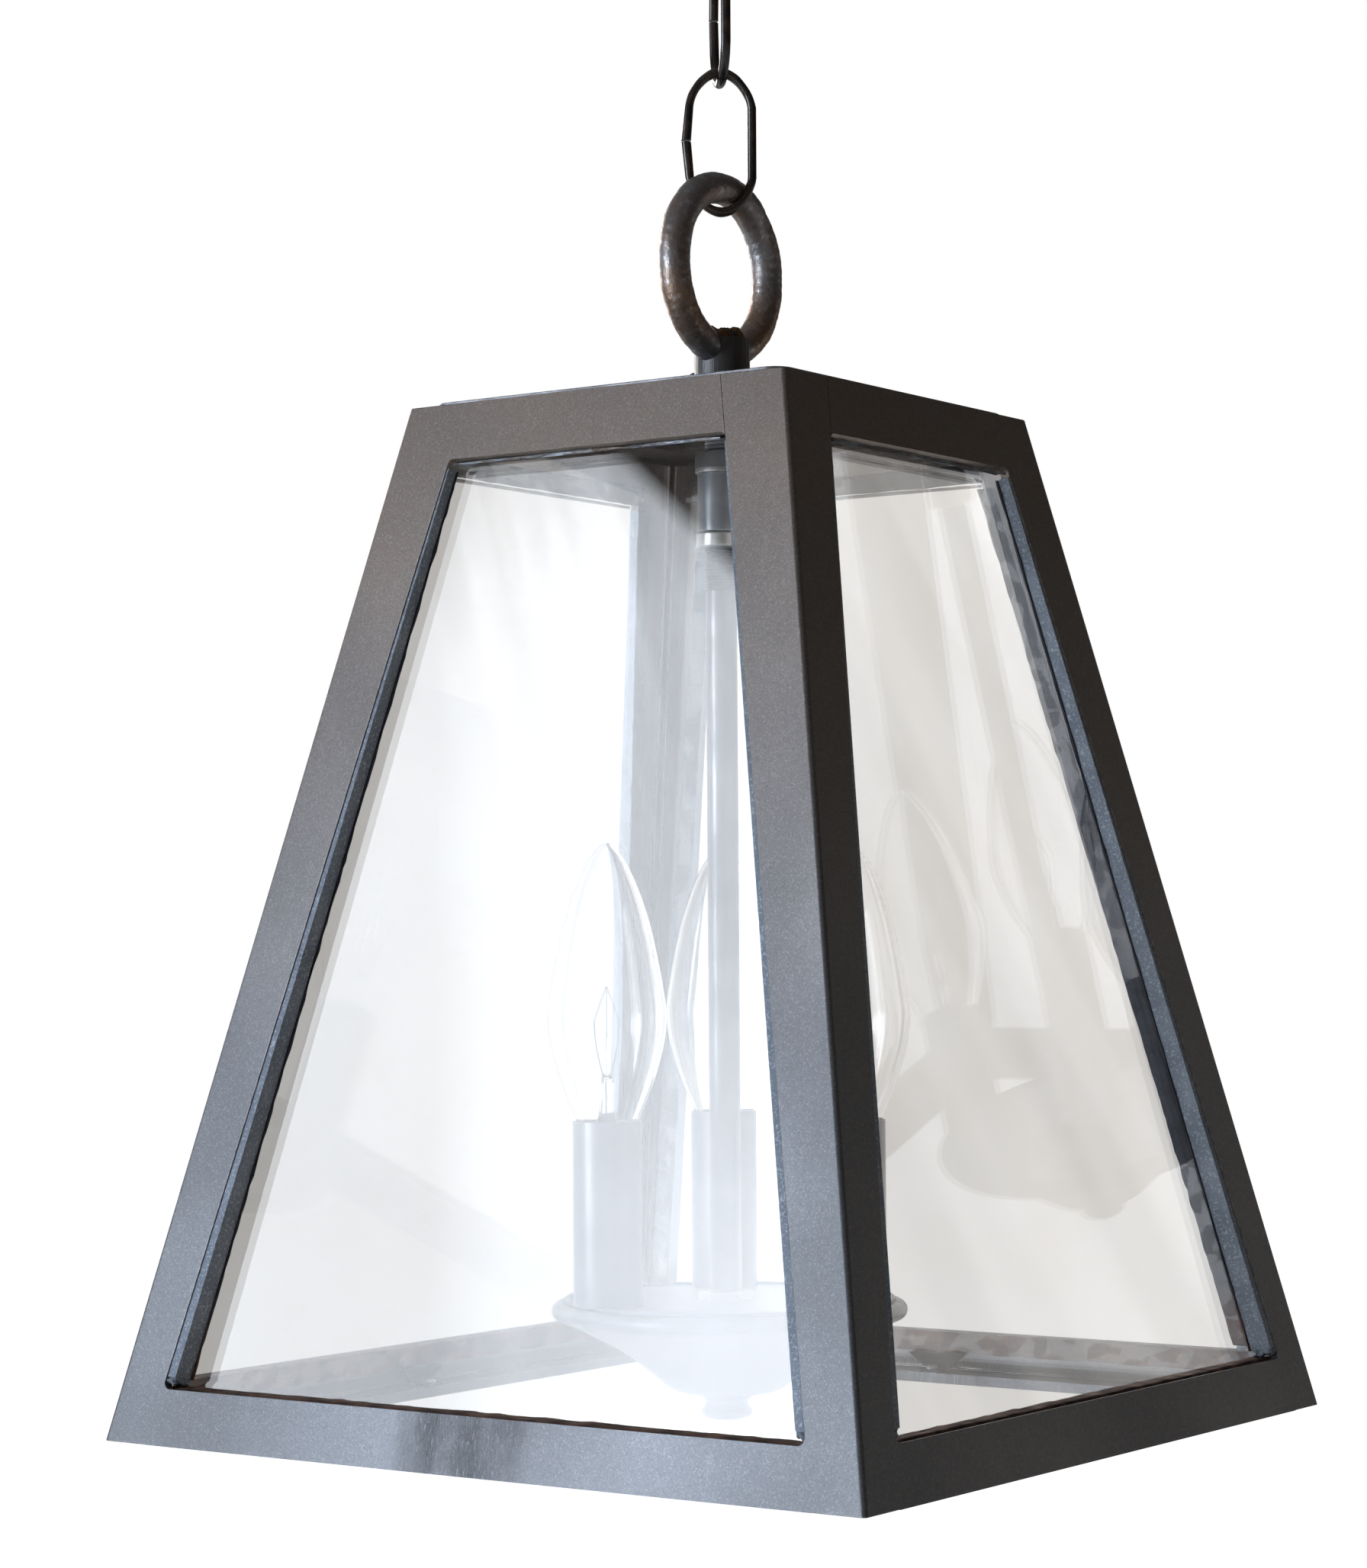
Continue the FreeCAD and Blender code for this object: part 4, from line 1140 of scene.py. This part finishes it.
def folds(tree, across, rise, lean_by):
    """Soft folds of a curtain, hanging at a slant."""
    along = product(tree, leaning_from(tree, across, rise, lean_by), 13.0)
    spot = add(tree, "CombineXYZ", {"X": along, "Y": rise}).outputs[0]
    return add(tree, "TexNoise", {"Vector": spot, "Scale": 1.0, "Detail": 2.0}).outputs["Fac"]


def window_glow(tree, across, rise):
    """A tall curtained window, cold and bright low down, with a slanting top. Its image in
    the panes spreads further to the left, where the curtain is half drawn, and further down."""
    leaning = leaning_from(tree, across, rise, 0.2)
    over_top = leaning_from(tree, rise, across, 0.55)
    fold = folds(tree, across, rise, 0.0)
    within = ranged(tree, maths(tree, "ABSOLUTE", rise), 1.3, 1.31, 1.0, 0.0)
    top = ranged(tree, over_top, 0.60, 0.66, 1.0, 0.05)
    left_edge = ranged(tree, leaning, 0.25, 0.42, 1.0, 0.05)
    right_edge = ranged(tree, leaning, -0.15, 0.05, 0.15, 1.0)
    higher = ranged(tree, rise, -0.1, 0.75, 1.0, 0.3)
    soft_folds = ranged(tree, fold, 0.3, 0.7, 0.8, 1.0)
    lit = product(tree, left_edge, right_edge, top, soft_folds, within, higher, 20.0)
    colour = mixed(tree, ranged(tree, rise, 0.2, 0.9), (0.74, 0.85, 1.0, 1), (0.95, 0.95, 1.0, 1))
    return colour, lit, (0.87, 0.925, 1.0, 1), window_image(tree, across, rise, leaning, over_top, fold)


def window_image(tree, across, rise, leaning, over_top, fold):
    """The strength of the window's image in clear glass."""
    image_top = ranged(tree, leaning_from(tree, rise, across, 0.71), 0.558, 0.588, 1.0, 0.03)
    low_down = ranged(tree, rise, -0.05, 0.3, 0.2, 0.0)
    curtain = maths(tree, "ADD", low_down, ranged(tree, fold, 0.4, 0.6, 0.2, 0.5))
    open_part = ranged(tree, leaning, 0.42, 0.52, 1.0, 0.72)
    edges = blended(tree, ranged(tree, leaning, -0.15, 0.05), curtain, open_part)
    streak = ranged(tree, folds(tree, across, rise, 0.45), 0.4, 0.6)
    depth = product(tree, ranged(tree, over_top, 0.15, 0.6, 0.0, 0.6),
                    ranged(tree, leaning, 0.3, 0.5, 0.3, 1.0))
    gaps = maths(tree, "SUBTRACT", 1.0, product(tree, streak, depth))
    beside_post = ranged(tree, rise, 0.0, 0.45, 1.3, 0.88)
    beyond = ranged(tree, rise, 0.0, 0.3, 0.9, 1.0)
    side = blended(tree, ranged(tree, leaning, 0.2, 0.38), beside_post, beyond)
    below = ranged(tree, rise, -1.0, -0.45, 0.36, 1.0)
    above = ranged(tree, rise, 0.75, 1.0, 1.0, 0.5)
    strength = ranged(tree, rise, -0.05, 0.3, 8.8, 7.9)
    return product(tree, edges, image_top, gaps, side, below, above, strength)


def room_glow(tree, across, rise):
    """The pale wall of the room on the right, with a doorway's soft light low down."""
    low_light = ranged(tree, rise, -0.25, 0.35, 0.3, 0.02)
    fold = ranged(tree, folds(tree, across, rise, 0.1), 0.35, 0.65, 0.8, 1.25)
    image = product(tree, fold, ranged(tree, rise, -0.2, 0.5, 1.0, 1.65))
    return (1.0, 0.94, 0.87, 1), low_light, (1.0, 0.97, 0.935, 1), image


def even_glow(colour, strength):
    return lambda tree, across, rise: (colour, strength, colour, strength)


lantern_middle = Vector((0, 0, (base_z + top_z) / 2))
world_light()
floor()
softbox("window", (-1.45, -2.6, 0.25), 1.6, 5.2, window_glow)
softbox("room_wall", (1.36, 2.67, 0.3), 1.5, 2.3, room_glow)
softbox("left_fill", (-2.6, 0.9, 0.4), 1.4, 1.4, even_glow((1.0, 0.97, 0.94, 1), 5.0), in_glass=False)
softbox("back_fill", (-1.2, 2.8, 0.6), 1.2, 1.6, even_glow((1.0, 0.97, 0.93, 1), 0.7), in_glass=False)


def camera():
    """Low and close on the right of the front corner, looking slightly up."""
    place = Vector((0.6249, -0.9113, -0.30135))
    yaw, pitch, roll = math.radians(35.09), math.radians(2.36), math.radians(-0.36)
    ahead = Vector((-math.sin(yaw) * math.cos(pitch), math.cos(yaw) * math.cos(pitch), math.sin(pitch)))
    level = Vector((math.cos(yaw), math.sin(yaw), 0))
    upright = level.cross(ahead)
    across = level * math.cos(roll) + upright * math.sin(roll)
    up = upright * math.cos(roll) - level * math.sin(roll)
    lens = bpy.data.cameras.new("camera")
    lens.lens = 83.69
    lens.sensor_width = 36
    eye = bpy.data.objects.new("camera", lens)
    eye.matrix_world = Matrix.Translation(place) @ Matrix((across, up, -ahead)).transposed().to_4x4()
    bpy.context.scene.collection.objects.link(eye)
    bpy.context.scene.camera = eye


camera()
scene = bpy.context.scene
scene.view_settings.view_transform = "Standard"
scene.cycles.max_bounces = 16
scene.cycles.transmission_bounces = 14
scene.cycles.transparent_max_bounces = 16
